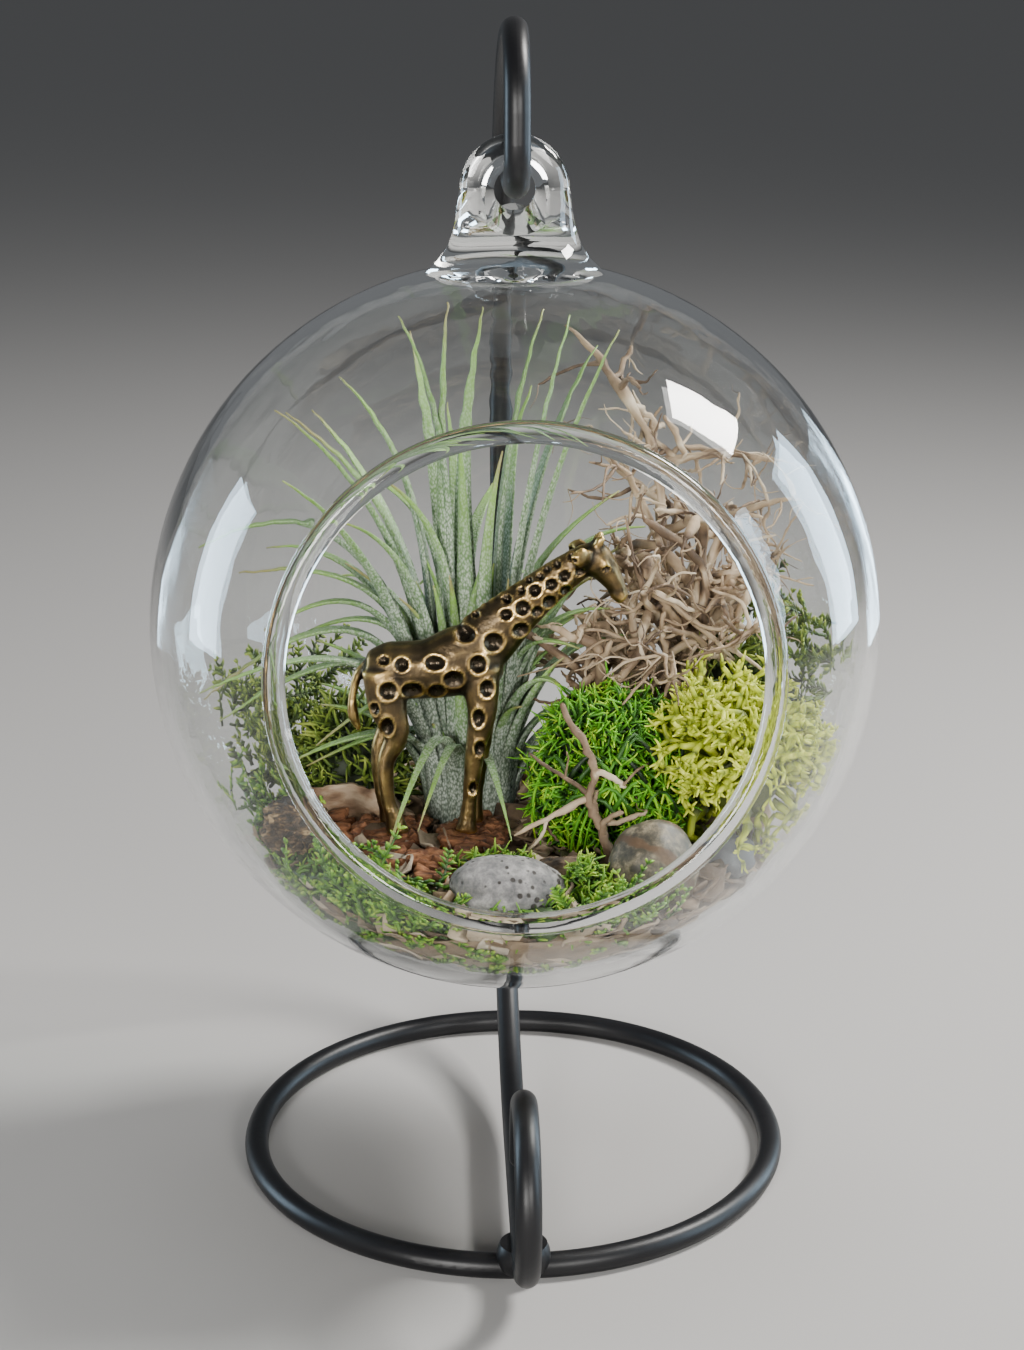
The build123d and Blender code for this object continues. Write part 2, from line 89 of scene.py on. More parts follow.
class Wire:  # a socket in a material; maths on it adds Math nodes
    def __init__(self, tree, socket=None):
        self.tree = tree
        self.socket = socket

    def node(self, kind, settings=None, inputs=None, output=0):
        made = self.tree.nodes.new(kind)
        for key, value in (settings or {}).items():
            if key == "stops":  # place, red, green and blue of each
                shades = made.color_ramp.elements
                shades.remove(shades[1])
                shades[0].position, shades[0].color = value[0][0], colour(*value[0][1:])
                for place, *tint in value[1:]:
                    shades.new(place).color = colour(*tint)
            else:
                setattr(made, key, value)
        for key, value in (inputs or {}).items():
            if isinstance(value, Wire):
                self.tree.links.new(value.socket, made.inputs[key])
            else:
                made.inputs[key].default_value = value
        return Wire(self.tree, made.outputs[output] if made.outputs else None)

    def maths(self, operation, first, second):
        return self.node("ShaderNodeMath", {"operation": operation}, {0: first, 1: second})

    def __add__(self, other):
        return self.maths("ADD", self, other)

    def __sub__(self, other):
        return self.maths("SUBTRACT", self, other)

    def __rsub__(self, other):
        return self.maths("SUBTRACT", other, self)

    def __mul__(self, other):
        return self.maths("MULTIPLY", self, other)

    __radd__ = __add__


def startFinish(name):
    finish = bpy.data.materials.new(name)
    finish.use_nodes = True
    finish.node_tree.nodes.clear()
    return finish, Wire(finish.node_tree)


def placeOn(wire, stretch):  # places on the piece, stretched along an axis
    place = wire.node("ShaderNodeTexCoord", output="Object")
    return wire.node("ShaderNodeMapping", inputs={"Vector": place, "Scale": stretch})


def grain(wire, scale, detail=4.0, stretch=(1, 1, 1), rough=0.55):  # noise over the piece
    sockets = {"Vector": placeOn(wire, stretch), "Scale": scale, "Detail": detail, "Roughness": rough}
    return wire.node("ShaderNodeTexNoise", inputs=sockets, output="Fac")


def cells(wire, scale, stretch=(1, 1, 1)):  # distance from scattered points
    sockets = {"Vector": placeOn(wire, stretch), "Scale": scale}
    return wire.node("ShaderNodeTexVoronoi", inputs=sockets, output="Distance")


def painted(wire, layer):  # a value that the piece's points hold
    return wire.node("ShaderNodeAttribute", {"attribute_name": layer}, output="Fac")


def ramp(wire, factor, stops):
    return wire.node("ShaderNodeValToRGB", {"stops": stops}, {"Fac": factor}, "Color")


def blendColours(wire, factor, first, second):
    return wire.node("ShaderNodeMix", {"data_type": "RGBA"}, {0: factor, 6: first, 7: second}, 2)


def bump(wire, height, strength, distance):
    return wire.node("ShaderNodeBump", inputs={"Height": height, "Strength": strength, "Distance": distance})


def endFinish(wire, **sockets):
    named = {key.replace("_", " "): value for key, value in sockets.items()}
    shader = wire.node("ShaderNodeBsdfPrincipled", inputs=named)
    wire.node("ShaderNodeOutputMaterial", inputs={"Surface": shader})


def newObject(name, data):
    made = bpy.data.objects.new(name, data)
    bpy.context.collection.objects.link(made)
    return made


def dress(thing, finish):
    thing.data.materials.clear()
    thing.data.materials.append(finish)


def addPiece(name, mesh, finish, replaced, body="globe"):
    mesh.name = name
    piece = newObject(name, mesh)
    dress(piece, finish)
    mesh.shade_smooth()
    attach(piece, body)
    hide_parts(*replaced)


def meshOf(bm):
    bmesh.ops.recalc_face_normals(bm, faces=bm.faces)
    mesh = bpy.data.meshes.new("made")
    bm.to_mesh(mesh)
    bm.free()
    return mesh


def joinMeshes(bm, *meshes):  # takes meshes that are only a step on the way into a larger one
    for mesh in meshes:
        bm.from_mesh(mesh)
        bpy.data.meshes.remove(mesh)


def openMesh(*meshes):
    bm = bmesh.new()
    joinMeshes(bm, *meshes)
    return bm


def joined(*meshes):
    return meshOf(openMesh(*meshes))


def joinCopy(bm, mesh, matrix):
    moved = mesh.copy()
    moved.transform(matrix)
    joinMeshes(bm, moved)


def newLayers(bm, *names):  # values on the points, which materials read
    return [bm.verts.layers.float.new(name) for name in names]


def smoothAll(bm, factor):
    axes = {"use_axis_" + axis: True for axis in "xyz"}
    bmesh.ops.smooth_vert(bm, verts=bm.verts, factor=factor, **axes)


def tubes(strands, sides):  # strands are (points, radii); every strand becomes a tapering tube
    curve = bpy.data.curves.new("strands", "CURVE")
    curve.dimensions = "3D"
    curve.bevel_depth = 1.0
    curve.bevel_resolution = sides // 2 - 2
    curve.use_fill_caps = True
    tree = KDTree(sum(len(points) for points, radii in strands))
    marks = []
    for points, radii in strands:
        spline = curve.splines.new("POLY")
        spline.points.add(len(points) - 1)
        spline.points.foreach_set("co", [value for point in points for value in (*point, 1.0)])
        spline.points.foreach_set("radius", radii)
        shade = random.random()
        for index, point in enumerate(points):
            tree.insert(point, len(marks))
            marks.append((index / (len(points) - 1), shade))
    tree.balance()
    holder = newObject("strands", curve)
    bm = openMesh(bpy.data.meshes.new_from_object(holder))
    bpy.data.objects.remove(holder)
    bpy.data.curves.remove(curve)
    bmesh.ops.remove_doubles(bm, verts=bm.verts, dist=0.000002)  # the caps are loose until here
    alongLayer, toneLayer = newLayers(bm, "along", "tone")
    for vert in bm.verts:
        vert[alongLayer], vert[toneLayer] = marks[tree.find(vert.co)[1]]
    return meshOf(bm)


def anyWay():  # a random direction
    return Vector((random.gauss(0, 1), random.gauss(0, 1), random.gauss(0, 1))).normalized()


def tumble(lean):  # any heading, and a lean to two sides
    turned = Matrix.Rotation(random.uniform(0, fullTurn), 4, "Z")
    for axis in "XY":
        turned = turned @ Matrix.Rotation(random.gauss(0, lean), 4, axis)
    return turned


def wander(foot, heading, length, steps, bend, unrest):  # a stem that bends one way and wobbles
    points = [foot]
    for step in range(steps):
        points.append(points[-1] + heading * length / steps)
        heading = (heading + bend + anyWay() * unrest).normalized()
    return points, heading


def pointBetween(before, first, second, after, t):  # on a smooth curve through the middle two
    return 0.5 * (2 * first + (second - before) * t + (2 * before - 5 * first + 4 * second - after) * t ** 2
                  + (3 * first - before - 3 * second + after) * t ** 3)


def smoothRun(points, parts):  # more points, on a smooth curve through the given ones
    run = []
    for index in range(len(points) - 1):
        before, after = points[max(index - 1, 0)], points[min(index + 2, len(points) - 1)]
        first, second = points[index], points[index + 1]
        run += [pointBetween(before, first, second, after, part / parts) for part in range(parts)]
    return run + [points[-1]]


def evenRun(values, parts):  # more values, straight between the given ones
    run = []
    for first, second in zip(values, values[1:]):
        run += [first * (1 - part / parts) + second * (part / parts) for part in range(parts)]
    return run + [values[-1]]


def brokenNoise(place):
    return noise.fractal(place, 1.0, 2.0, 3)


def lump(place, size, rough, fine, seed, turn=0, lean=0, subdivisions=5):  # a ball pushed about by noise
    bm = bmesh.new()
    bmesh.ops.create_icosphere(bm, subdivisions=subdivisions, radius=1.0)
    shift = Vector((seed * 3.1, seed * 1.7, seed * 2.3))
    for vert in bm.verts:
        way = vert.co.normalized()
        swell = 1 + rough * noise.noise(way * 1.6 + shift)
        vert.co = way * (swell + fine * brokenNoise(way * 7 + shift))
    turned = Matrix.Rotation(math.radians(turn), 4, "Z") @ Matrix.Rotation(math.radians(lean), 4, "Y")
    sized = Matrix.Diagonal((*[side / 2 for side in size], 1))
    bmesh.ops.transform(bm, matrix=Matrix.Translation(place) @ turned @ sized, verts=bm.verts)
    points = keepInside([vert.co.copy() for vert in bm.verts])
    for vert, point in zip(bm.verts, points):
        vert.co = point
    return meshOf(bm)


def pointsIn(made):  # the points among what an operator made
    return [item for item in made if isinstance(item, bmesh.types.BMVert)]


def nextRing(bm, edges):  # extrudes a ring of edges; gives the new ring's points and edges
    made = bmesh.ops.extrude_edge_only(bm, edges=edges)["geom"]
    ring = pointsIn(made)
    fresh = set(ring)
    return ring, [item for item in made if isinstance(item, bmesh.types.BMEdge) and set(item.verts) <= fresh]


def growLimb(spine, widths, depths, sides, across, dish=0.0):  # rings along a spine, one from the next
    limb = bmesh.new()
    ring = bmesh.ops.create_circle(limb, segments=sides, radius=1.0)["verts"]
    for vert in ring:
        vert.co.y += dish * vert.co.x ** 2
    first = edges = list(limb.edges)
    placed = Matrix.Identity(4)
    for index, point in enumerate(spine):
        ahead = (spine[min(index + 1, len(spine) - 1)] - spine[max(index - 1, 0)]).normalized()
        side = (across - ahead * across.dot(ahead)).normalized()
        columns = (side * (widths[index] / 2), ahead.cross(side) * (depths[index] / 2), ahead)
        target = Matrix.Translation(point) @ Matrix(columns).transposed().to_4x4()
        if index:
            ring, edges = nextRing(limb, edges)
        bmesh.ops.transform(limb, matrix=target @ placed.inverted(), verts=ring)
        placed = target
    for end in (first, edges):
        bmesh.ops.edgeloop_fill(limb, edges=end)
    return limb


# camera, floor and light
shot = {"place": (-0.0179, -0.4901, 0.2618), "yaw": 2.06, "pitch": 17.22, "lens": 64.6, "sensor": 36.0}
camera = newObject("camera", bpy.data.cameras.new("camera"))
camera.data.sensor_fit = "VERTICAL"
camera.data.sensor_height = shot["sensor"]
camera.data.lens = shot["lens"]
camera.data.clip_start = 0.01
camera.location = shot["place"]
camera.rotation_euler = (math.radians(90 - shot["pitch"]), 0, math.radians(-shot["yaw"]))
bpy.context.scene.camera = camera

floorFinish, wire = startFinish("paleFloor")
endFinish(
    wire,
    Base_Color=colour(0.42, 0.415, 0.41),
    Roughness=grain(wire, 60.0) * 0.1 + 0.8,
    Specular_IOR_Level=0.0,
)
bm = bmesh.new()
bmesh.ops.create_circle(bm, cap_ends=True, segments=64, radius=12.0)
floor = newObject("floor", meshOf(bm))
dress(floor, floorFinish)

coolTint, softTint = (0.62, 0.82, 1.0), (1.0, 0.98, 0.95)
lamps = [  # name, place, width, height, watts, tint, and whether it lights matt things or is only mirrored
    ("keyPanel", (0.51, 0.136, 0.654), 0.18, 0.22, 11.0, (1.0, 0.97, 0.93), True),
    ("rightPanel", (0.66, 0.32, 0.2), 0.22, 0.5, 4.0, coolTint, False),
    ("nearRightPanel", (0.74, -0.17, 0.25), 0.22, 0.5, 3.5, coolTint, False),
    ("leftPanel", (-0.71, 0.22, 0.2), 0.2, 0.45, 4.0, coolTint, False),
    ("frontPanel", (-0.4, -0.95, 0.3), 0.3, 0.3, 10.0, softTint, True),
    ("frontRightPanel", (0.36, -0.92, 0.36), 0.26, 0.26, 6.5, softTint, True),
    ("topPanel", (0.0, 0.3, 1.0), 0.5, 0.4, 3.0, (1.0, 1.0, 1.0), True),
]
for name, place, width, height, watts, tint, lighting in lamps:
    lamp = bpy.data.lights.new(name, "AREA")
    lamp.shape, lamp.size, lamp.size_y = "RECTANGLE", width, height
    lamp.energy, lamp.color = watts, tint
    holder = newObject(name, lamp)
    holder.location = place
    holder.rotation_euler = (Vector(place) - globe["centre"]).to_track_quat("Z", "Y").to_euler()
    holder.visible_glossy = holder.visible_transmission = name != "topPanel"  # no square glare on the globe
    holder.visible_diffuse = lighting
world = bpy.data.worlds.new("studio")
bpy.context.scene.world = world
world.use_nodes = True
backdrop = world.node_tree.nodes["Background"].inputs
backdrop["Color"].default_value = colour(0.75, 0.78, 0.82)
backdrop["Strength"].default_value = 0.2
print("camera, floor and light set")

# stand: satin black coat on the rod, the ring and the weld
coatFinish, wire = startFinish("blackCoat")
fine, broad = grain(wire, 900.0, 3.0), grain(wire, 35.0, 3.0)
endFinish(
    wire,
    Base_Color=ramp(wire, broad, [(0.3, 0.004, 0.004, 0.005), (0.75, 0.011, 0.011, 0.012)]),
    Specular_IOR_Level=0.32,
    Roughness=0.3 + broad * 0.14 + fine * 0.06,
    Normal=bump(wire, fine, 0.12, 0.0002),
)
for name in ("base_ring", "stand_rod", "weld_bead"):
    dress(nodes[name], coatFinish)
print("stand finished")

# globe: clear blown glass that lets the lamps through to the planting
glassFinish, wire = startFinish("clearGlass")
waves, ripples = grain(wire, 26.0, 1.5), grain(wire, 70.0, 2.0, (1, 1, 0.5))
glassShader = wire.node(
    "ShaderNodeBsdfPrincipled",
    inputs={
        "Base Color": colour(0.97, 0.985, 0.98),
        "Roughness": 0.0,
        "IOR": 1.47,
        "Specular IOR Level": 0.09,
        "Transmission Weight": 1.0,
        "Normal": bump(wire, waves + ripples * 0.35, 0.25, 0.0012),
    },
)
clearShader = wire.node("ShaderNodeBsdfTransparent", inputs={"Color": colour(0.95, 0.96, 0.955)})
lampRay = wire.node("ShaderNodeLightPath", output="Is Shadow Ray")
softRay = wire.node("ShaderNodeLightPath", output="Is Diffuse Ray")
depth = wire.node("ShaderNodeLightPath", output="Ray Depth")
lateRay = wire.maths("GREATER_THAN", depth, 3.5)  # goes straight on from the fourth surface
passing = wire.maths("MAXIMUM", wire.maths("MAXIMUM", lampRay, softRay), lateRay)
glassMix = wire.node("ShaderNodeMixShader", inputs={0: passing, 1: glassShader, 2: clearShader})
wire.node("ShaderNodeOutputMaterial", inputs={"Surface": glassMix})
dress(nodes["glass_globe"], glassFinish)
print("globe finished")

# air plant: curved, channelled leaves from a crown on the litter
plant = {
    "width": 0.0072, "thickness": 0.0021, "dish": 1.0, "steps": 20, "sides": 10,
    "lean": 0.16, "arch": 0.11,  # how far out and up a leaf's knee lies
    "sway": 0.005, "hook": (0.6, 1.6), "curl": (-0.004, 0.007),
    "crownShare": 0.262, "crownHeading": 130, "crownRise": 0.006, "crownRadius": 0.009,
    "frontBefore": -0.026, "frontBelow": 0.095, "frontSize": 0.6,  # smaller leaves low in front
    "inner": 46, "innerTurn": 137.5, "innerLength": (0.044, 0.066), "innerSize": 0.92, "innerFront": 0.009,
    "seed": 7,
}
leafRows = [  # tip as right, back and up, and the knee's height, in shares of the glass's inside
    (-0.32, 0.10, 0.87, 0.35), (-0.25, 0.34, 0.80, 0.30), (-0.19, 0.12, 0.90, 0.30),
    (-0.10, 0.24, 0.87, 0.25), (-0.50, 0.20, 0.68, 0.30), (-0.66, 0.00, 0.62, 0.15),
    (-0.64, 0.24, 0.58, 0.10), (-0.58, 0.42, 0.55, 0.15), (-0.88, -0.10, 0.26, 0.40),
    (-0.66, -0.22, 0.48, 0.05), (-0.72, 0.30, 0.16, 0.12), (-0.79, 0.10, 0.13, 0.10),
    (-0.88, -0.14, -0.17, 0.18), (-0.89, -0.26, -0.10, 0.00), (-0.84, -0.12, -0.24, 0.02),
    (-0.70, -0.10, 0.02, 0.14), (-0.66, 0.12, -0.10, 0.10), (-0.58, 0.02, -0.36, -0.08),
    (0.08, 0.18, 0.88, 0.25), (0.16, 0.12, 0.86, 0.20), (0.24, 0.30, 0.76, 0.20),
    (0.30, 0.06, 0.84, 0.15), (0.12, 0.45, 0.60, 0.15), (0.38, 0.10, 0.26, 0.15),
    (0.20, 0.06, -0.08, -0.05), (0.28, 0.20, 0.00, -0.05), (0.14, -0.02, -0.22, -0.12),
    (-0.02, -0.32, -0.54, -0.30), (-0.28, -0.34, -0.50, -0.28), (-0.03, 0.02, 0.50, 0.05),
    (-0.15, 0.05, 0.55, 0.05), (-0.36, 0.02, 0.42, 0.15), (-0.48, -0.02, 0.30, 0.15),
    (-0.20, 0.50, 0.55, 0.10), (-0.40, 0.60, 0.30, 0.15), (-0.10, 0.72, 0.25, 0.20),
    (-0.30, 0.78, -0.10, 0.10), (0.10, 0.74, -0.05, 0.10), (-0.55, 0.52, 0.00, 0.05),
    (0.30, 0.26, 0.34, -0.05), (0.37, 0.34, 0.14, -0.10), (0.26, 0.12, 0.12, -0.15),
    (0.36, 0.20, -0.10, -0.20), (0.22, 0.28, -0.02, -0.20), (-0.65, -0.05, -0.42, -0.28),
    (-0.60, 0.06, -0.46, -0.31), (-0.38, -0.38, -0.59, -0.16),
]
leafFinish, wire = startFinish("frostedLeaf")
along, tone = painted(wire, "along"), painted(wire, "tone")
# green under the frost: darker towards each leaf's foot and on the crown, painted shade where the leaves
# crowd; the brighter green towards the tip and the brown at the very tip are the leaf's own colour
green = ramp(wire, along + tone * 0.16 - 0.08, [
    (0.0, 0.07, 0.1, 0.065), (0.3, 0.055, 0.1, 0.045), (0.6, 0.075, 0.17, 0.035), (0.9, 0.19, 0.36, 0.05),
    (1.0, 0.28, 0.25, 0.07)])
scales = cells(wire, 2400.0, (1, 1, 0.6))
frost = ramp(wire, scales, [(0.22, 1, 1, 1), (0.7, 0.12, 0.12, 0.12)])
cover = ramp(wire, along, [(0.0, 0.8, 0.8, 0.8), (0.5, 0.72, 0.72, 0.72), (0.9, 0.15, 0.15, 0.15)])
patches = grain(wire, 160.0, 3.0)
frosted = wire.maths("MULTIPLY", frost, cover) * (patches * 0.7 + 0.6)
endFinish(
    wire,
    Base_Color=blendColours(wire, frosted, green, colour(0.6, 0.66, 0.58)),
    Roughness=0.5 + frosted * 0.3,
    Normal=bump(wire, scales, 0.3, 0.0002),
)

random.seed(plant["seed"])
crown = onBed(plant["crownShare"], plant["crownHeading"], plant["crownRise"])
leafPaths = []  # knee, tip and size
for *tipPlace, kneeUp in leafRows:
    tip = inGlobe(*tipPlace)
    knee = crown + (tip - crown) * plant["lean"]
    outward = min(1.0, 2 * (tip - crown).xy.length / globe["inner"])  # leaves that reach out arch more
    knee.z = globe["centre"].z + (kneeUp + plant["arch"] * outward) * globe["inner"]
    lowFront = tip.y < plant["frontBefore"] and tip.z < plant["frontBelow"]
    leafPaths.append((knee, tip, plant["frontSize"] if lowFront else 1.0))
for number in range(plant["inner"]):  # shorter leaves fill the middle and the foot of the plant
    turn = math.radians(plant["innerTurn"] * number)
    rise = math.radians(84 - 62 * (number / plant["inner"]) ** 1.1)  # upright first, then ever flatter
    length = random.uniform(*plant["innerLength"]) * (1 - 0.3 * number / plant["inner"])
    out = Vector((math.cos(turn), math.sin(turn), 0))
    reach = length * math.cos(rise)
    if out.y < 0:
        reach = min(reach, plant["innerFront"] / -out.y)  # clear of the figurine
    knee = crown + out * reach * 0.3 + Vector((0, 0, length * (0.3 + 0.35 * math.sin(rise))))
    tip = crown + out * reach + Vector((0, 0, length * math.sin(rise)))
    leafPaths.append((knee, tip, plant["innerSize"]))
bm = bmesh.new()
bmesh.ops.create_uvsphere(bm, u_segments=24, v_segments=14, radius=plant["crownRadius"] * 0.8)
bmesh.ops.translate(bm, vec=crown, verts=bm.verts)
newLayers(bm, "along", "tone")
for knee, tip, size in leafPaths:
    out = Vector((knee.x - crown.x, knee.y - crown.y, 0)).normalized()
    root = crown + out * plant["crownRadius"] * 0.95 - Vector((0, 0, plant["crownRadius"] * 0.6))
    across = Vector((0, 0, 1)).cross(tip - crown).normalized()
    sway = random.uniform(-plant["sway"], plant["sway"])
    hook, curl = random.uniform(*plant["hook"]), random.uniform(*plant["curl"])
    spine, widths, depths = [], [], []
    for step in range(plant["steps"] + 1):
        t = step / plant["steps"]
        point = root * (1 - t) ** 2 + knee * (2 * t * (1 - t)) + tip * t ** 2
        point = point + across * sway * size ** 3 * math.sin(math.pi * t * hook) * t
        spine.append(point - out * curl * math.sin(math.pi * t) * t)
        taper = 0.03 + 0.97 * (1 - t ** 1.3)
        widths.append(plant["width"] * size * taper)
        depths.append(plant["thickness"] * (0.12 + 0.88 * taper))
    leaf = growLimb(keepInside(spine, 0.001), widths, depths, plant["sides"], across, plant["dish"])
    alongLayer, toneLayer = newLayers(leaf, "along", "tone")
    leaf.verts.index_update()
    shade = random.random()
    for vert in leaf.verts:
        vert[alongLayer], vert[toneLayer] = vert.index // plant["sides"] / plant["steps"], shade
    joinMeshes(bm, meshOf(leaf))
addPiece("airPlant", meshOf(bm), leafFinish, ["air_plant"])
print("air plant grown:", len(leafPaths), "leaves")

# figurine: cast giraffe with dimpled spots, rubbed bright on its ridges
figure = {
    "height": 0.063, "share": 0.355, "heading": 201, "chip": 0.005, "stride": 0.012,
    "parts": 5, "sides": 16, "voxel": 0.0005, "smooth": 11, "mane": 14, "maneRadius": 0.017,
    "bowl": 0.0009, "rim": 0.0003, "rimReach": 1.12, "rimWidth": 0.16,  # of a dimple
}
middleLimbs = [  # rings as ahead, left, up, width and depth, all shares of the height
    [(-0.2, 0, 0.555, 0.1, 0.11), (-0.13, 0, 0.55, 0.16, 0.19), (0.0, 0, 0.55, 0.16, 0.2),
     (0.1, 0, 0.575, 0.16, 0.24), (0.19, 0, 0.59, 0.15, 0.25), (0.245, 0, 0.595, 0.08, 0.13)],  # trunk
    [(0.13, 0, 0.58, 0.14, 0.22), (0.22, 0, 0.67, 0.115, 0.19), (0.31, 0, 0.755, 0.095, 0.15),
     (0.4, 0, 0.835, 0.085, 0.13), (0.5, 0, 0.905, 0.075, 0.105), (0.54, 0, 0.925, 0.06, 0.08)],  # neck
    [(0.5, 0, 0.94, 0.055, 0.06), (0.545, 0, 0.915, 0.104, 0.118), (0.585, 0, 0.87, 0.082, 0.09),
     (0.62, 0, 0.815, 0.056, 0.06), (0.64, 0, 0.78, 0.044, 0.044)],  # head
    [(0.6, 0, 0.805, 0.052, 0.036), (0.637, 0, 0.772, 0.05, 0.034)],  # lips
    [(-0.185, 0, 0.575, 0.045, 0.04), (-0.225, 0, 0.535, 0.035, 0.034), (-0.245, 0, 0.46, 0.03, 0.03),
     (-0.245, 0, 0.4, 0.042, 0.042), (-0.225, 0, 0.34, 0.02, 0.02)],  # tail
]
pairedLimbs = [  # which way the left foot steps, and the rings
    (-1, [(-0.14, 0.04, 0.56, 0.09, 0.15), (-0.13, 0.05, 0.44, 0.085, 0.13),
          (-0.115, 0.055, 0.34, 0.062, 0.085), (-0.15, 0.055, 0.25, 0.05, 0.06),
          (-0.145, 0.055, 0.12, 0.046, 0.05), (-0.125, 0.055, 0.05, 0.058, 0.062),
          (-0.115, 0.055, 0.0, 0.07, 0.088)]),  # hind leg
    (1, [(0.17, 0.04, 0.56, 0.085, 0.14), (0.178, 0.05, 0.42, 0.07, 0.1),
         (0.168, 0.052, 0.3, 0.056, 0.07), (0.16, 0.052, 0.24, 0.054, 0.066),
         (0.148, 0.052, 0.12, 0.046, 0.05), (0.14, 0.052, 0.05, 0.056, 0.06),
         (0.135, 0.052, 0.0, 0.068, 0.084)]),  # foreleg
    (0, [(0.53, 0.018, 0.92, 0.038, 0.038), (0.548, 0.024, 0.965, 0.03, 0.03),
         (0.562, 0.026, 0.988, 0.036, 0.036)]),  # horn
    (0, [(0.525, 0.03, 0.92, 0.026, 0.046), (0.495, 0.06, 0.935, 0.04, 0.074),
         (0.462, 0.086, 0.932, 0.018, 0.03)]),  # ear
]
pairedKnobs = [  # ahead, left, up and radius of the horn's knob, the brow and the nostril's swelling
    (0.563, 0.027, 0.986, 0.0155), (0.572, 0.036, 0.906, 0.02), (0.63, 0.014, 0.795, 0.017),
]
figureSpots = [  # ahead, up, half width and half height of each dimple
    (-0.082, 0.587, 0.024, 0.022), (0.025, 0.591, 0.034, 0.024), (-0.128, 0.502, 0.03, 0.03),
    (-0.05, 0.5, 0.034, 0.027), (0.085, 0.537, 0.033, 0.03), (0.03, 0.495, 0.027, 0.025),
    (0.125, 0.68, 0.032, 0.024), (0.215, 0.655, 0.032, 0.032), (0.164, 0.587, 0.028, 0.03),
    (0.192, 0.505, 0.024, 0.03), (0.302, 0.692, 0.027, 0.025), (0.256, 0.744, 0.021, 0.019),
    (0.31, 0.765, 0.026, 0.026), (0.356, 0.751, 0.018, 0.018), (0.349, 0.822, 0.021, 0.021),
    (0.395, 0.783, 0.023, 0.023), (0.402, 0.841, 0.021, 0.021), (0.445, 0.868, 0.021, 0.02),
    (0.448, 0.819, 0.018, 0.018), (0.306, 0.82, 0.013, 0.011), (0.26, 0.791, 0.017, 0.013),
    (0.331, 0.851, 0.011, 0.01), (0.365, 0.866, 0.011, 0.01), (0.388, 0.888, 0.011, 0.01),
    (0.421, 0.905, 0.014, 0.011), (0.47, 0.929, 0.015, 0.012), (0.157, 0.74, 0.015, 0.011),
    (-0.132, 0.38, 0.022, 0.032), (0.165, 0.405, 0.02, 0.032), (0.169, 0.3, 0.018, 0.028),
    (0.146, 0.16, 0.013, 0.024), (-0.139, 0.598, 0.018, 0.014), (0.492, 0.882, 0.016, 0.015),
    (-0.172, 0.44, 0.016, 0.022), (0.579, 0.892, 0.012, 0.011),
]
bronzeFinish, wire = startFinish("agedBronze")
hollow, ridge = painted(wire, "hollow"), painted(wire, "ridge")
wear, speck = grain(wire, 260.0, 4.0), grain(wire, 1100.0, 3.0)
rubbed = ridge * (0.55 + wear * 0.9) + (wear - 0.5) * 0.35 - hollow
rubbed = wire.maths("MINIMUM", wire.maths("MAXIMUM", rubbed, 0.0), 1.0)
bronze = ramp(wire, rubbed, [
    (0.0, 0.036, 0.028, 0.019), (0.22, 0.085, 0.06, 0.032),
    (0.52, 0.26, 0.17, 0.065), (1.0, 0.8, 0.55, 0.2)])
endFinish(
    wire,
    Base_Color=bronze,
    Metallic=1.0,
    Roughness=0.31 - rubbed * 0.09 - hollow * 0.09 + speck * 0.1,
    Normal=bump(wire, speck + wear * 0.8, 0.35, 0.0003),
)

foot = onBed(figure["share"], figure["heading"], figure["chip"])
figureLimbs = list(middleLimbs)
for side in (-1, 1):
    for way, rings in pairedLimbs:
        step = figure["stride"] * side * way  # a pair's legs stand apart from the third ring down
        figureLimbs.append([
            (ahead + (step if index > 1 else 0), side * left, up, width, depth)
            for index, (ahead, left, up, width, depth) in enumerate(rings)])
bm = bmesh.new()
for rings in figureLimbs:
    spine = smoothRun([Vector(ring[:3]) for ring in rings], figure["parts"])
    widths, depths = [evenRun([ring[at] for ring in rings], figure["parts"]) for at in (3, 4)]
    joinMeshes(bm, meshOf(growLimb(spine, widths, depths, figure["sides"], Vector((0, 1, 0)))))
for side in (-1, 1):
    for ahead, left, up, radius in pairedKnobs:
        ball = bmesh.ops.create_icosphere(bm, subdivisions=3, radius=radius)["verts"]
        bmesh.ops.translate(bm, vec=(ahead, side * left, up), verts=ball)
for step in range(figure["mane"]):  # short mane along the neck
    t = step / (figure["mane"] - 1)
    ball = bmesh.ops.create_icosphere(bm, subdivisions=2, radius=figure["maneRadius"])["verts"]
    bmesh.ops.translate(bm, vec=(0.13 + 0.37 * t, 0, 0.715 + 0.235 * t ** 0.92), verts=ball)
bmesh.ops.transform(bm, matrix=Matrix.Translation(foot) @ Matrix.Scale(figure["height"], 4), verts=bm.verts)
rough = newObject("roughFigure", meshOf(bm))
remesh = rough.modifiers.new("remesh", "REMESH")
remesh.mode, remesh.voxel_size = "VOXEL", figure["voxel"]
soften = rough.modifiers.new("soften", "SMOOTH")
soften.factor, soften.iterations = 0.5, figure["smooth"]
bpy.context.view_layer.update()
bm = openMesh(bpy.data.meshes.new_from_object(rough.evaluated_get(bpy.context.evaluated_depsgraph_get())))
bpy.data.objects.remove(rough)
bm.normal_update()
hollowLayer, ridgeLayer = newLayers(bm, "hollow", "ridge")
moves = []
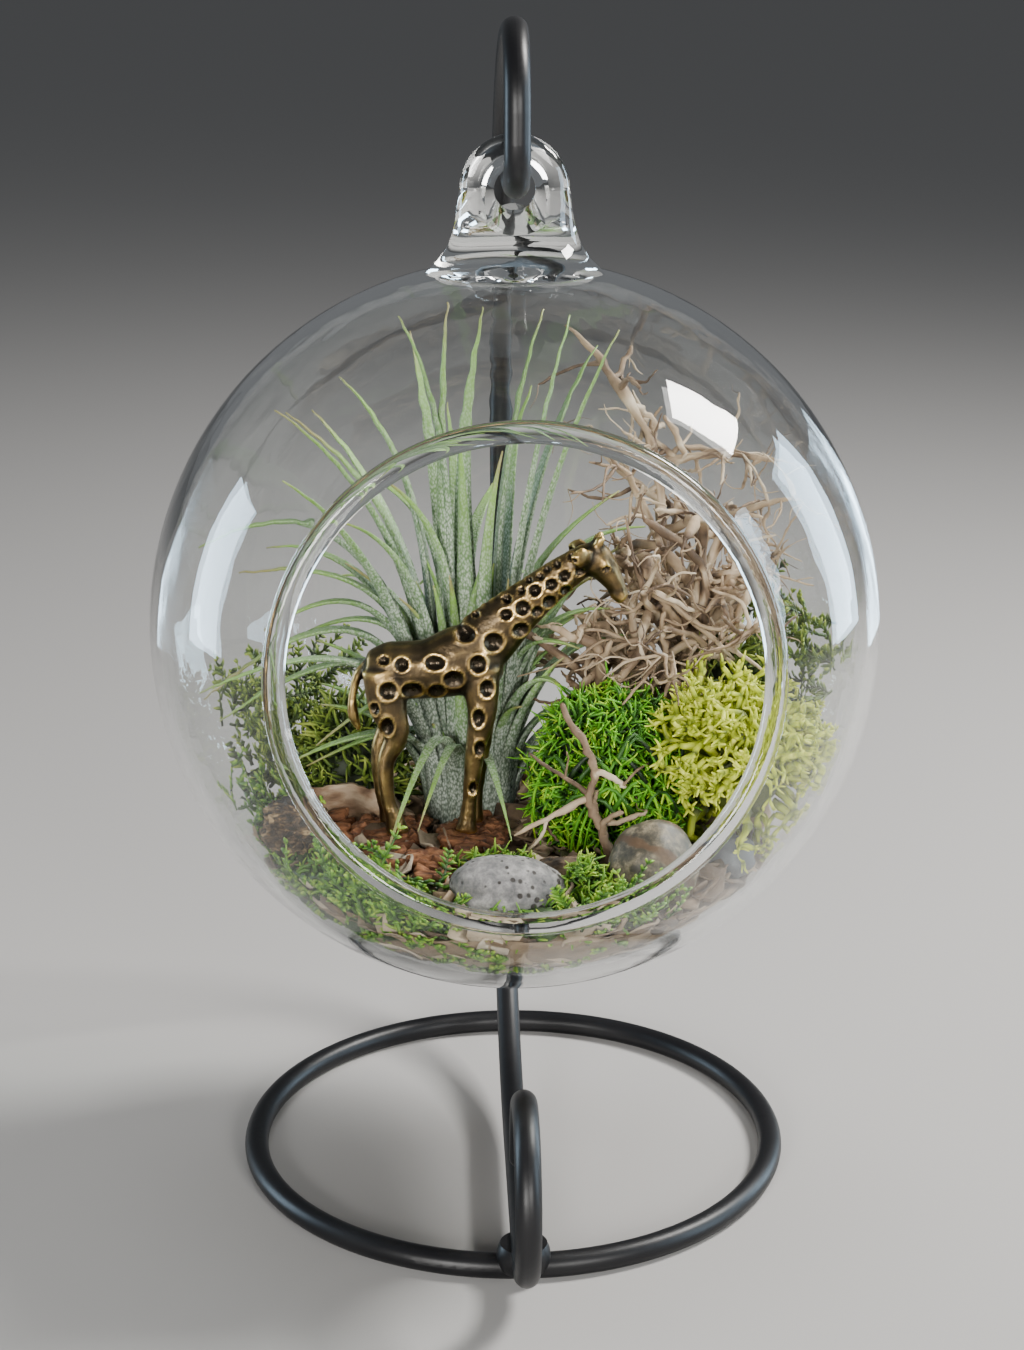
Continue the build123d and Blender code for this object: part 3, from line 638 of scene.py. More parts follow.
for vert in bm.verts:
    ahead, up = (vert.co.x - foot.x) / figure["height"], (vert.co.z - foot.z) / figure["height"]
    reach = min(math.hypot((ahead - spot[0]) / spot[2], (up - spot[1]) / spot[3]) for spot in figureSpots)
    facing = min(1.0, max(0.0, (abs(vert.normal.y) - 0.2) * 2.5))  # dimples lie on the flanks alone
    bowl = max(0.0, 1 - reach ** 2)
    rim = math.exp(-((reach - figure["rimReach"]) / figure["rimWidth"]) ** 2)
    moves.append(vert.normal * facing * (rim * figure["rim"] - bowl * figure["bowl"]))
    vert[hollowLayer] = facing * min(1.0, bowl * 1.3)
    near = [edge.other_vert(vert).co for edge in vert.link_edges]
    around = sum(near, Vector()) / max(1, len(near))
    sharp = (vert.co - around).dot(vert.normal) * 14000  # how far the point stands out of its neighbours
    vert[ridgeLayer] = 0.1 + facing * rim * 0.75 + max(-0.4, min(0.7, sharp))
for vert, move in zip(bm.verts, moves):
    vert.co += move
smoothAll(bm, 0.3)
for vert in bm.verts:  # flat soles on the chips
    vert.co.z = max(vert.co.z, foot.z)
addPiece("giraffe", meshOf(bm), bronzeFinish, ["figurine"])
print("figurine cast")


def shadedMossFinish(name, roughness, stops):  # colour along the strand, from its foot to its tip, with painted shade at the foot and painted highlight at the tip
    finish, wire = startFinish(name)
    along, tone = painted(wire, "along"), painted(wire, "tone")
    patch, fuzz = grain(wire, 140.0, 3.0), grain(wire, 2600.0, 2.0)
    # the dark foot is painted shade between the strands; the pale tip is partly the young growth and partly
    # painted highlight
    shades = ramp(wire, along * 0.75 + tone * 0.3 + (patch - 0.5) * 0.8, stops)
    fuzzy = bump(wire, fuzz, 0.4, 0.0002)
    endFinish(wire, Base_Color=shades, Roughness=roughness + patch * 0.15, Normal=fuzzy)
    return finish


def shaggyHeap(heap):  # strands that stand out of a heap
    strands = []
    while len(strands) < heap["strands"]:
        way = anyWay()
        swell = random.uniform(0.7, 0.86) + heap.get("lumps", 0.0) * noise.noise(way * 3.4)
        foot = heap["place"] + way * heap["half"] * swell
        if foot.z < globe["bedTop"] - 0.001 or pastGlass(foot, 0.001):
            continue
        out = Vector([a / b for a, b in zip(way, heap["half"])]).normalized()
        heading = (out + anyWay() * heap["spread"] + Vector((0, 0, 0.25))).normalized()
        bend, length = anyWay() * heap["curl"], heap["length"] * random.uniform(0.6, 1.15)
        points, heading = wander(foot, heading, length, steps=5, bend=bend, unrest=heap["curl"] * 0.25)
        thick = heap["radius"] * random.uniform(0.7, 1.35)
        radii = [thick * size for size in (1.0, 1.0, 0.95, 0.85, 0.65, 0.3)]
        strands.append((keepInside(points, thick), radii))
    return tubes(strands, sides=4)


def heapCore(heap, share, rough, fine, seed):  # the lump under the strands, which takes the dark colour of the strands' feet, painted shade in the gaps
    size = [2 * half * share for half in heap["half"]]
    return lump(heap["place"], size, rough, fine, seed, subdivisions=4)


# green moss: a heap of fine curly strands
greenMoss = {
    "place": onBed(0.36, 352, 0.012), "half": Vector((0.0165, 0.014, 0.023)), "lumps": 0.22,
    "strands": 4200, "length": 0.0066, "radius": 0.0003, "curl": 1.15, "spread": 0.9,
    "ribbons": 14, "ribbonPoints": 9, "ribbonRadius": 0.0005, "seed": 11,
}
brightMoss = shadedMossFinish("brightMoss", 0.5, [
    (0.12, 0.004, 0.014, 0.001), (0.42, 0.03, 0.13, 0.003),
    (0.72, 0.12, 0.4, 0.006), (1.0, 0.42, 0.66, 0.025)])
random.seed(greenMoss["seed"])
heap = shaggyHeap(greenMoss)
strands = []
for number in range(greenMoss["ribbons"]):  # longer stems that arch over the heap's front
    turn, up = math.radians(random.uniform(215, 350)), random.uniform(-0.2, 0.6)
    points = []
    for step in range(greenMoss["ribbonPoints"]):
        around = turn + 0.1 * step * (1 if number % 2 else -1)
        rise = min(0.95, up + 0.5 * math.sin(0.4 * step) - 0.08 * step)
        flat = math.sqrt(max(0.0, 1 - rise ** 2))
        way = Vector((math.cos(around) * flat, math.sin(around) * flat, rise))
        points.append(greenMoss["place"] + way * greenMoss["half"] * 1.08)
    radii = [greenMoss["ribbonRadius"] * (1.2 - 0.1 * step) for step in range(greenMoss["ribbonPoints"])]
    strands.append((keepInside(points, 0.0008), radii))
core = heapCore(greenMoss, share=0.8, rough=0.12, fine=0.1, seed=3)
addPiece("greenMoss", joined(heap, tubes(strands, sides=6), core), brightMoss, ["green_moss"])
print("green moss grown")

# reindeer moss: yellow-green lichen that forks again and again
lichen = {
    "place": onBed(0.86, 351, 0.017), "half": Vector((0.0185, 0.016, 0.019)),
    "trunks": 150, "length": 0.0056, "radius": 0.00098, "forks": 3, "seed": 5,
}


def forkOn(strands, foot, heading, length, radius, level):  # a stem with two or three more at its end
    points, heading = wander(foot, heading, length, steps=4, bend=anyWay() * 0.18, unrest=0.1)
    keepInside(points, radius)
    end = 0.78 if level else 0.3
    strands.append((points, [radius * (1 - (1 - end) * step / 4) for step in range(5)]))
    if level:
        for fork in range(random.choice((2, 2, 3))):
            side = (heading * 0.8 + anyWay()).normalized()
            forkOn(strands, points[-1], side, length * random.uniform(0.55, 0.82), radius * end, level - 1)


random.seed(lichen["seed"])
strands = []
for trunk in range(lichen["trunks"]):
    way = anyWay()
    way.z = abs(way.z) if random.random() < 0.7 else way.z
    foot = lichen["place"] + way * lichen["half"] * random.uniform(0.45, 0.66)
    if foot.z < globe["bedTop"] or pastGlass(foot, 0.002):
        continue
    heading = (way + anyWay() * 0.35).normalized()
    length = lichen["length"] * random.uniform(0.8, 1.2)
    forkOn(strands, foot, heading, length, lichen["radius"] * random.uniform(0.75, 1.2), lichen["forks"])
lichenFinish = shadedMossFinish("yellowLichen", 0.55, [
    (0.05, 0.05, 0.065, 0.003), (0.3, 0.24, 0.3, 0.01),
    (0.6, 0.5, 0.57, 0.025), (1.0, 0.76, 0.78, 0.13)])
core = heapCore(lichen, share=0.5, rough=0.15, fine=0.1, seed=8)
addPiece("reindeerMoss", joined(tubes(strands, sides=6), core), lichenFinish, ["reindeer_moss"])
print("reindeer moss grown:", len(strands), "stems")

# feathery moss: sprigs with small leaves on both sides, along the glass
sprigs = {"leaf": 0.0027, "radius": 0.00036, "steps": 6}
leftMoss = {
    "headings": (163, 248), "heights": (0.062, 0.0865), "sprigs": 290, "sprigLength": 0.011, "lift": 0.5,
    "bare": (189, 217, 0.0755),  # between these headings and above this height the nugget shows
    "tufts": 9, "tuftFrom": 168, "tuftEvery": 9, "tuftHalf": Vector((0.006, 0.006, 0.0055)),
    "tuftLength": 0.0042, "tuftSeed": 0, "seed": 21,
}
frontMoss = {
    "headings": (249, 300), "heights": (0.058, 0.081), "sprigs": 150, "sprigLength": 0.010, "lift": 0.5,
    "bare": (253, 278, 0.067),  # here the grey stone shows
    "tufts": 5, "tuftFrom": 254, "tuftEvery": 10, "tuftHalf": Vector((0.0055, 0.005, 0.0042)),
    "tuftLength": 0.0038, "tuftSeed": 20,
    "heaps": [  # place, half size and strands, behind the grey stone and between the stones
        (onBed(0.5, 258, 0.002), Vector((0.011, 0.004, 0.0045)), 420),
        (onBed(0.76, 288, 0.003), Vector((0.0045, 0.004, 0.0075)), 380),
    ],
    "heapStrands": {"length": 0.0038, "radius": 0.0003, "curl": 1.1, "spread": 0.9},
}
oliveMoss = {
    "sprigs": 150, "sprigLength": 0.010, "lift": 0.9,
    "strands": 500, "length": 0.007, "radius": 0.0004, "curl": 0.35, "spread": 0.8,
}
backMoss = {
    "place": onBed(0.74, 148, 0.004), "half": Vector((0.013, 0.011, 0.022)),
    "headings": (132, 168), "heights": (0.078, 0.103), "seed": 31, **oliveMoss,
}
rightMoss = {
    "place": onBed(0.93, 22, 0.014), "half": Vector((0.012, 0.012, 0.028)),
    "headings": (-4, 36), "heights": (0.08, 0.12), "seed": 37, **oliveMoss,
}


def sprig(strands, foot, heading, length, flat):
    radius, steps = sprigs["radius"], sprigs["steps"]
    points, heading = wander(foot, heading, length, steps, bend=anyWay() * 0.16, unrest=0.1)
    keepInside(points, radius)
    strands.append((points, [radius * (1 - 0.1 * step) for step in range(steps + 1)]))
    for index in range(1, steps + 1):
        ahead = (points[index] - points[index - 1]).normalized()
        side = ahead.cross(flat).normalized()
        for hand in (-1, 1):
            reach = sprigs["leaf"] * (1.1 - 0.1 * index) * random.uniform(0.7, 1.2)
            way = (ahead * 0.75 + side * hand + anyWay() * 0.3).normalized()
            tip = points[index] + way * reach
            leaflet = [points[index], points[index] + way * reach * 0.55 + flat * reach * 0.08, tip]
            strands.append((keepInside(leaflet, radius), [radius * 0.9, radius * 1.15, radius * 0.3]))


def mossRoll(moss):  # sprigs over a roll along the glass
    strands = []
    bareFrom, bareTo, bareAbove = moss.get("bare", (0, 0, 0))
    for number in range(moss["sprigs"]):
        heading = random.uniform(*moss["headings"])
        height = random.uniform(*moss["heights"])
        if bareFrom < heading < bareTo and height > bareAbove:
            continue
        gap = 0.0012 + 0.012 * random.random() ** 2 * (height > globe["bedTop"])  # below, close to the glass
        place = againstGlass(heading, height, gap)
        inward = (globe["centre"] - place).normalized()
        turn = math.radians(heading)
        level = Vector((-math.sin(turn), math.cos(turn), 0))
        climb = inward.cross(level)
        if climb.z < 0:
            climb = -climb
        way = level * random.gauss(0, 1) + climb * random.gauss(0.3, 0.7)
        way = (way + inward * random.uniform(0, moss["lift"])).normalized()
        sprig(strands, place, way, moss["sprigLength"] * random.uniform(0.6, 1.2), inward)
    return tubes(strands, sides=4)


def mossBank(moss):  # sprigs along the glass, and a row of tufts inside them
    parts = [mossRoll(moss)]
    for step in range(moss["tufts"]):
        tuft = {
            "place": onBed(0.86, moss["tuftFrom"] + moss["tuftEvery"] * step), "half": moss["tuftHalf"],
            "strands": 80, "length": moss["tuftLength"], "radius": 0.00034, "curl": 0.9, "spread": 0.9,
        }
        core = {"rough": 0.2, "fine": 0.15, "seed": step + moss["tuftSeed"], "turn": 40 * step}
        # each tuft's lump takes the dark colour of the strands' feet, painted shade in the gaps
        parts += [lump(tuft["place"], tuft["half"] * 1.7, subdivisions=3, **core), shaggyHeap(tuft)]
    return parts


fernFinish = shadedMossFinish("fernMoss", 0.55, [
    (0.05, 0.01, 0.028, 0.002), (0.35, 0.04, 0.115, 0.005),
    (0.65, 0.11, 0.26, 0.01), (1.0, 0.32, 0.44, 0.04)])
random.seed(leftMoss["seed"])
addPiece("leftMoss", joined(*mossBank(leftMoss)), fernFinish, ["left_moss"])
parts = mossBank(frontMoss)
for place, half, count in frontMoss["heaps"]:
    parts.append(shaggyHeap({"place": place, "half": half, "strands": count, **frontMoss["heapStrands"]}))
addPiece("frontMoss", joined(*parts), fernFinish, ["front_moss"])
oliveFinish = shadedMossFinish("oliveMoss", 0.6, [
    (0.05, 0.014, 0.022, 0.004), (0.4, 0.05, 0.09, 0.01),
    (0.7, 0.14, 0.21, 0.02), (1.0, 0.34, 0.4, 0.06)])
for name, moss, node in (("backMoss", backMoss, "back_moss"), ("rightMoss", rightMoss, "right_moss")):
    random.seed(moss["seed"])
    core = heapCore(moss, share=0.66, rough=0.15, fine=0.12, seed=moss["seed"])
    addPiece(name, joined(mossRoll(moss), shaggyHeap(moss), core), oliveFinish, [node])
print("feathery moss laid")

# twigs: knobbly branches, each with smaller ones on it
twigs = {
    "radius": 0.0017, "sideLength": 0.016, "tangle": 46, "tangleSides": 4, "tangleLength": 0.008,
    "tangleFrom": ((0.24, 0.66), (0.14, 0.45), (-0.42, 0.0)),  # right, back and up in the globe
    "tangleReach": ((-0.3, 0.22), (-0.28, 0.12), (-0.12, 0.34)), "seed": 17,
}
twigRows = [  # share of the thickest twig, smaller twigs on it, and its points in the globe
    (1.0, 12, [(0.56, 0.34, -0.66), (0.52, 0.38, -0.25), (0.47, 0.38, 0.10), (0.43, 0.40, 0.42),
               (0.31, 0.42, 0.64), (0.17, 0.42, 0.80)]),
    (0.7, 10, [(0.44, 0.40, 0.36), (0.60, 0.34, 0.42), (0.80, 0.22, 0.42)]),
    (0.7, 10, [(0.47, 0.38, 0.18), (0.62, 0.26, 0.26), (0.81, 0.10, 0.34)]),
    (0.6, 8, [(0.48, 0.38, 0.06), (0.36, 0.28, 0.34), (0.28, 0.20, 0.44)]),
    (0.6, 8, [(0.46, 0.39, 0.26), (0.33, 0.40, 0.36), (0.24, 0.44, 0.47)]),
    (0.8, 12, [(0.50, 0.38, -0.10), (0.42, 0.16, -0.02), (0.36, -0.02, 0.10)]),
    (0.7, 12, [(0.51, 0.38, -0.20), (0.46, 0.12, -0.14), (0.42, -0.06, -0.08)]),
    (0.7, 12, [(0.53, 0.37, -0.30), (0.64, 0.15, -0.12), (0.70, -0.02, 0.00)]),
    (0.6, 11, [(0.50, 0.38, -0.04), (0.60, 0.48, 0.12), (0.68, 0.50, 0.24)]),
    (0.6, 11, [(0.49, 0.38, 0.02), (0.62, 0.22, 0.08), (0.74, 0.06, 0.14)]),
    (0.6, 10, [(0.53, 0.37, -0.36), (0.40, 0.50, -0.18), (0.30, 0.56, 0.00)]),
    (0.7, 6, [(0.68, 0.20, 0.05), (0.44, 0.13, -0.06), (0.22, 0.10, -0.13)]),
    (0.65, 6, [(0.66, 0.24, -0.06), (0.46, 0.10, -0.12), (0.26, 0.04, -0.20)]),
    (0.6, 6, [(0.34, 0.06, 0.10), (0.46, 0.10, 0.03), (0.66, 0.16, -0.16)]),
]
forkedTwig = {"foot": onBed(0.535, 306), "height": 0.035, "radius": 0.00092, "sideLength": 0.007}
forkRows = [  # share of the thickest, smaller twigs, and points from the foot in twig heights
    (1.3, 2, [(0.06, 0.0, -0.06), (0.03, 0.04, 0.14), (-0.02, 0.08, 0.30), (-0.08, 0.11, 0.46),
              (-0.05, 0.14, 0.62), (-0.13, 0.17, 0.80), (-0.25, 0.21, 1.0)]),
    (0.95, 2, [(-0.08, 0.11, 0.45), (-0.28, 0.07, 0.36), (-0.51, 0.04, 0.25)]),
    (0.85, 1, [(-0.02, 0.08, 0.30), (0.11, 0.09, 0.31), (0.26, 0.11, 0.36)]),
    (1.0, 1, [(-0.05, 0.14, 0.61), (0.04, 0.12, 0.57), (0.13, 0.10, 0.52)]),
    (0.7, 1, [(-0.08, 0.12, 0.47), (-0.25, 0.17, 0.58), (-0.43, 0.21, 0.69)]),
]


def branch(strands, points, radius, taper):  # a wiggly run with knots
    run = smoothRun(points, 5)
    sizes = []
    for index in range(len(run)):
        t = index / (len(run) - 1)
        if index:
            run[index] = run[index] + anyWay() * radius * 0.35
        knot = 1.25 if random.random() < 0.16 else random.uniform(0.85, 1.08)
        sizes.append(radius * (1 - taper * t) * knot)
    sizes[-1] *= 0.55
    strands.append((keepInside(run, radius), sizes))
    return run, sizes


def sideTwigs(strands, run, sizes, count, length, level):
    for number in range(count):
        at = random.randrange(max(1, len(run) // 5), len(run))
        ahead = (run[at] - run[at - 1]).normalized()
        way = (ahead * 0.5 + anyWay()).normalized()
        reach = length * random.uniform(0.5, 1.2)
        bend = anyWay() * 0.45
        points = [run[at], run[at] + way * reach * 0.5, run[at] + (way + bend).normalized() * reach]
        made = branch(strands, points, sizes[at] * random.uniform(0.55, 0.85), taper=0.45)
        if level:
            sideTwigs(strands, *made, random.choice((1, 2, 3)), length * 0.5, level - 1)


twigFinish, wire = startFinish("dryTwig")
tone = painted(wire, "tone")
bark, streaks = grain(wire, 420.0, 4.0, (1, 1, 0.5)), grain(wire, 130.0, 4.0)
dry = ramp(wire, streaks * 0.5 + bark * 0.3 + tone * 0.6 - 0.2, [
    (0.15, 0.045, 0.026, 0.014), (0.35, 0.17, 0.11, 0.065),
    (0.58, 0.4, 0.295, 0.185), (0.85, 0.66, 0.55, 0.41)])
knobbly = bump(wire, bark + streaks * 0.5, 0.55, 0.0006)
endFinish(wire, Base_Color=dry, Roughness=0.62 + bark * 0.25, Normal=knobbly)
random.seed(twigs["seed"])
strands = []
for share, count, places in twigRows:
    made = branch(strands, [inGlobe(*place) for place in places], twigs["radius"] * share, taper=0.55)
    sideTwigs(strands, *made, count, twigs["sideLength"], level=1)
for number in range(twigs["tangle"]):  # arching stems low in the cluster
    start = Vector([random.uniform(*span) for span in twigs["tangleFrom"]])
    end = start + Vector([random.uniform(*span) for span in twigs["tangleReach"]])
    middle = (start + end) / 2 + anyWay() * 0.1 + Vector((0, 0, 0.09))
    points = [inGlobe(*place) for place in (start, middle, end)]
    made = branch(strands, points, twigs["radius"] * random.uniform(0.5, 0.95), taper=0.4)
    sideTwigs(strands, *made, twigs["tangleSides"], twigs["tangleLength"], level=1)
addPiece("twigCluster", tubes(strands, sides=8), twigFinish, ["twig_cluster"])
print("twigs:", len(strands))

strands = []
for share, count, places in forkRows:
    points = [forkedTwig["foot"] + Vector(place) * forkedTwig["height"] for place in places]
    made = branch(strands, points, forkedTwig["radius"] * share, taper=0.5)
    sideTwigs(strands, *made, count, forkedTwig["sideLength"], level=0)
addPiece("forkedTwig", tubes(strands, sides=8), twigFinish, ["forked_twig"])

# grey stone: pitted, with painted shade in the pits
greyPebble = {
    "place": onBed(0.745, 266, 0.005), "size": (0.0226, 0.016, 0.0124), "turn": 8, "lean": 4,
    "rough": 0.1, "fine": 0.02, "seed": 4,
}
stoneFinish, wire = startFinish("greyStone")
mottle, few = grain(wire, 330.0, 6.0, rough=0.7), grain(wire, 90.0, 2.0)
# near-black in the pits, which are only dents in the bump: painted shade
shadedPits = ramp(wire, cells(wire, 480.0) + (few - 0.5) * 0.9, [(0.12, 1, 1, 1), (0.22, 0, 0, 0)])
grey = ramp(wire, mottle, [(0.34, 0.07, 0.07, 0.073), (0.5, 0.165, 0.16, 0.158), (0.68, 0.34, 0.33, 0.32)])
endFinish(
    wire,
    Base_Color=blendColours(wire, shadedPits, grey, colour(0.03, 0.025, 0.022)),
    Roughness=0.72 + mottle * 0.2,
    Normal=bump(wire, mottle * 0.5 - shadedPits, 0.6, 0.0007),
)
addPiece("greyPebble", lump(**greyPebble), stoneFinish, ["grey_pebble"])

# brown stone: banded, with a slight polish
brownPebble = {
    "place": onBed(0.79, 307, 0.006), "size": (0.018, 0.015, 0.02), "turn": 20, "lean": 12,
    "rough": 0.08, "fine": 0.012, "seed": 9,
}
bandFinish, wire = startFinish("bandedStone")
place = wire.node("ShaderNodeTexCoord", output="Object")
waviness = {"Vector": place, "Scale": 42.0, "Distortion": 5.0, "Detail": 4.0, "Detail Scale": 1.6}
bands = wire.node("ShaderNodeTexWave", {"bands_direction": "DIAGONAL"}, waviness, "Fac")
spots, clouds = grain(wire, 460.0, 6.0, rough=0.65), grain(wire, 120.0, 3.0)
vein = ramp(wire, bands + (spots - 0.5) * 0.3, [(0.84, 0, 0, 0), (0.94, 0.8, 0.8, 0.8)])
olive = ramp(wire, spots * 0.65 + clouds * 0.4, [
    (0.4, 0.014, 0.012, 0.008), (0.5, 0.05, 0.043, 0.027),
    (0.56, 0.12, 0.1, 0.064), (0.66, 0.3, 0.25, 0.17)])
endFinish(
    wire,
    Base_Color=blendColours(wire, vein, olive, colour(0.07, 0.034, 0.012)),
    Roughness=0.5 + spots * 0.2,
    Coat_Weight=0.06,
    Coat_Roughness=0.35,
    Normal=bump(wire, spots + clouds * 0.5, 0.3, 0.0005),
)
addPiece("brownPebble", lump(**brownPebble), bandFinish, ["brown_pebble"])

# dark stone: slate grey with flecks
darkPebble = {
    "place": onBed(0.87, 335, 0.0026), "size": (0.011, 0.012, 0.0105), "turn": 30,
    "rough": 0.1, "fine": 0.015, "seed": 14,
}
slateFinish, wire = startFinish("darkStone")
fleck = grain(wire, 300.0, 5.0)
slate = ramp(wire, fleck, [(0.3, 0.035, 0.042, 0.05), (0.6, 0.1, 0.115, 0.13), (0.85, 0.24, 0.25, 0.26)])
endFinish(wire, Base_Color=slate, Roughness=0.4 + fleck * 0.25, Normal=bump(wire, fleck, 0.25, 0.0004))
addPiece("darkPebble", lump(**darkPebble), slateFinish, ["dark_pebble"])


def barkFinish(name, scale, stops):  # fibrous, cracked colour
    finish, wire = startFinish(name)
    fibres = grain(wire, scale, 5.0, (0.5, 1.6, 1.6))
    cracks = cells(wire, scale * 0.9, (0.6, 1.4, 1.2))
    broad = grain(wire, scale * 0.2, 3.0)
    endFinish(
        wire,
        Base_Color=ramp(wire, fibres * 0.65 + cracks * 0.3 + (broad - 0.5) * 0.5, stops),
        Roughness=0.75 + broad * 0.2,
        Normal=bump(wire, fibres + cracks * 0.6, 0.8, 0.0009),
    )
    return finish


# bark nugget: rough and dark
barkNugget = {
    "place": onBed(0.87, 198, 0.008), "size": (0.0148, 0.0128, 0.0128), "turn": 35, "lean": 10,
    "rough": 0.14, "fine": 0.2, "seed": 6,
}
nuggetFinish = barkFinish("darkBark", 700.0, [
    (0.36, 0.012, 0.008, 0.005), (0.46, 0.05, 0.03, 0.016),
    (0.54, 0.14, 0.085, 0.04), (0.64, 0.38, 0.27, 0.14)])
addPiece("barkNugget", lump(**barkNugget), nuggetFinish, ["bark_nugget"])

# bark chips: broken slabs under the figurine, with shards between them
chips = {
    "rows": [  # right and back of the figurine, length and width in millimetres, and the turn
        (-9.0, 0.5, 17.0, 17.0, 20), (9.4, 0.0, 17.0, 15.0, 75), (-15.5, -16.0, 15.0, 11.5, 10),
        (2.5, -15.5, 16.0, 11.0, 160), (-20.5, 2.0, 8.0, 8.0, 40),
    ],
    "thickness": 0.0044, "rough": 0.001,
    "shards": 90, "shardKinds": 5, "shardSize": (0.0075, 0.0035, 0.0018), "shardRough": 0.0004,
    "lean": 0.35, "seed": 41,
}
chipFinish = barkFinish("redBark", 520.0, [
    (0.25, 0.03, 0.011, 0.005), (0.43, 0.14, 0.052, 0.021),
    (0.62, 0.31, 0.13, 0.055), (0.88, 0.5, 0.27, 0.14)])


def slab(length, width, height, corners, cuts, rough):  # a broken flat piece, rounded and roughened
    bm = bmesh.new()
    ring = bmesh.ops.create_circle(bm, cap_ends=True, segments=corners, radius=0.5)["verts"]
    for vert in ring:
        vert.co *= random.uniform(0.88, 1.12)
    made = bmesh.ops.extrude_face_region(bm, geom=list(bm.faces))["geom"]
    bmesh.ops.translate(bm, vec=(0, 0, 1), verts=pointsIn(made))
    bmesh.ops.scale(bm, vec=(length, width, height), verts=bm.verts)
    bmesh.ops.triangulate(bm, faces=bm.faces)
    bmesh.ops.subdivide_edges(bm, edges=bm.edges, cuts=cuts, use_grid_fill=True)
    smoothAll(bm, 0.5)
    bm.normal_update()
    shift = anyWay() * 5
    for vert in bm.verts:
        place = Vector((vert.co.x * 220, vert.co.y * 520, vert.co.z * 420))  # long grain
        crags = noise.noise(place + shift) + 0.6 * noise.noise(place * 2.3 + shift)
        vert.co += vert.normal * rough * (crags + 0.4 * noise.noise(place * 4.7))
    return meshOf(bm)


random.seed(chips["seed"])
figureSpot = onBed(figure["share"], figure["heading"])
bm = bmesh.new()
for right, back, length, width, turn in chips["rows"]:
    size = (length * millimetre, width * millimetre, chips["thickness"])
    chip = slab(*size, corners=7, cuts=12, rough=chips["rough"])
    place = figureSpot + Vector((right, back, 0)) * millimetre
    joinCopy(bm, chip, Matrix.Translation(place) @ Matrix.Rotation(math.radians(turn), 4, "Z"))
shards = []
for kind in range(chips["shardKinds"]):
    shards.append(slab(*chips["shardSize"], corners=5, cuts=2, rough=chips["shardRough"]))
for number in range(chips["shards"]):
    place = figureSpot + Vector((random.uniform(-24, 16), random.uniform(-30, 10), 0)) * millimetre
    place.z += random.uniform(0.0008, 0.0035)
    turned = tumble(chips["lean"])
    if not pastGlass(place, 0.006):
        shard = random.choice(shards)
        joinCopy(bm, shard, Matrix.Translation(place) @ turned @ Matrix.Scale(random.uniform(0.5, 1.2), 4))
addPiece("barkChips", meshOf(bm), chipFinish, ["bark_chips"])

# leaf scrap: a curved, ragged bit of tan bark on its edge
scrap = {
    "place": figureSpot + Vector((-0.0177, 0.012, 0)), "radius": 0.012, "thickness": 0.0012, "width": 0.01,
    "arc": 80.0, "ragged": 0.12, "uneven": 0.05,
}
scrapFinish = barkFinish("tanBark", 260.0, [
    (0.34, 0.13, 0.07, 0.04), (0.48, 0.34, 0.22, 0.135), (0.62, 0.56, 0.42, 0.29)])
bm = bmesh.new()
bmesh.ops.create_grid(bm, x_segments=26, y_segments=14, size=0.5)
for vert in bm.verts:
    ragged = 1 + scrap["ragged"] * noise.noise(vert.co * 9)
    turn = math.radians(90 - scrap["arc"] * vert.co.x * ragged)
    reach = scrap["radius"] * (1 + scrap["uneven"] * noise.noise(vert.co * 4))
    up = scrap["width"] * (vert.co.y * ragged + 0.5)
    vert.co = (reach * math.cos(turn), reach * math.sin(turn) - scrap["radius"], up)
bm.normal_update()  # solidify follows the normals
bmesh.ops.solidify(bm, geom=list(bm.faces), thickness=scrap["thickness"])
bmesh.ops.translate(bm, vec=scrap["place"], verts=bm.verts)
addPiece("leafScrap", meshOf(bm), scrapFinish, ["leaf_scrap"])

# stone chip: brown, beside the brown stone
stoneChip = {
    "place": onBed(0.60, 288, 0.0035), "size": (0.0135, 0.0066, 0.0078), "turn": -25, "lean": 6,
    "rough": 0.22, "fine": 0.05, "seed": 12,
}
rockFinish = barkFinish("brownRock", 330.0, [
    (0.34, 0.04, 0.028, 0.018), (0.48, 0.15, 0.1, 0.06), (0.62, 0.36, 0.27, 0.18)])
addPiece("stoneChip", lump(**stoneChip), rockFinish, ["stone_chip"])
print("stones and bark laid")

# litter: a bed of broken dry leaves and shavings, filling the globe's bottom
litter = {
    "room": 0.071, "sides": 96, "down": 15, "across": 19, "wave": 0.0014, "bedTone": 0.35,
    "flakes": 6, "top": 620, "topSize": (0.004, 0.0105), "lean": 0.4,
    "glass": 520, "glassSize": (0.004, 0.011), "glassGap": 0.0011, "seed": 51,
}
middle = globe["centre"]


def flatWay(vert):  # level direction from the globe's axis
    return Vector((vert.co.x, vert.co.y - middle.y, 0)).normalized()


def glassDepth(angle):  # height on the glass at this angle from straight down
    return middle.z - litter["room"] * math.cos(angle)


def layFlake(bm, flake, matrix):
    mesh = flake.copy()
    mesh.transform(matrix)
    points = keepInside([vert.co.copy() for vert in mesh.vertices])
    mesh.vertices.foreach_set("co", [value for point in points for value in point])
    mesh.attributes["tone"].data.foreach_set("value", [random.random()] * len(points))
    joinMeshes(bm, mesh)


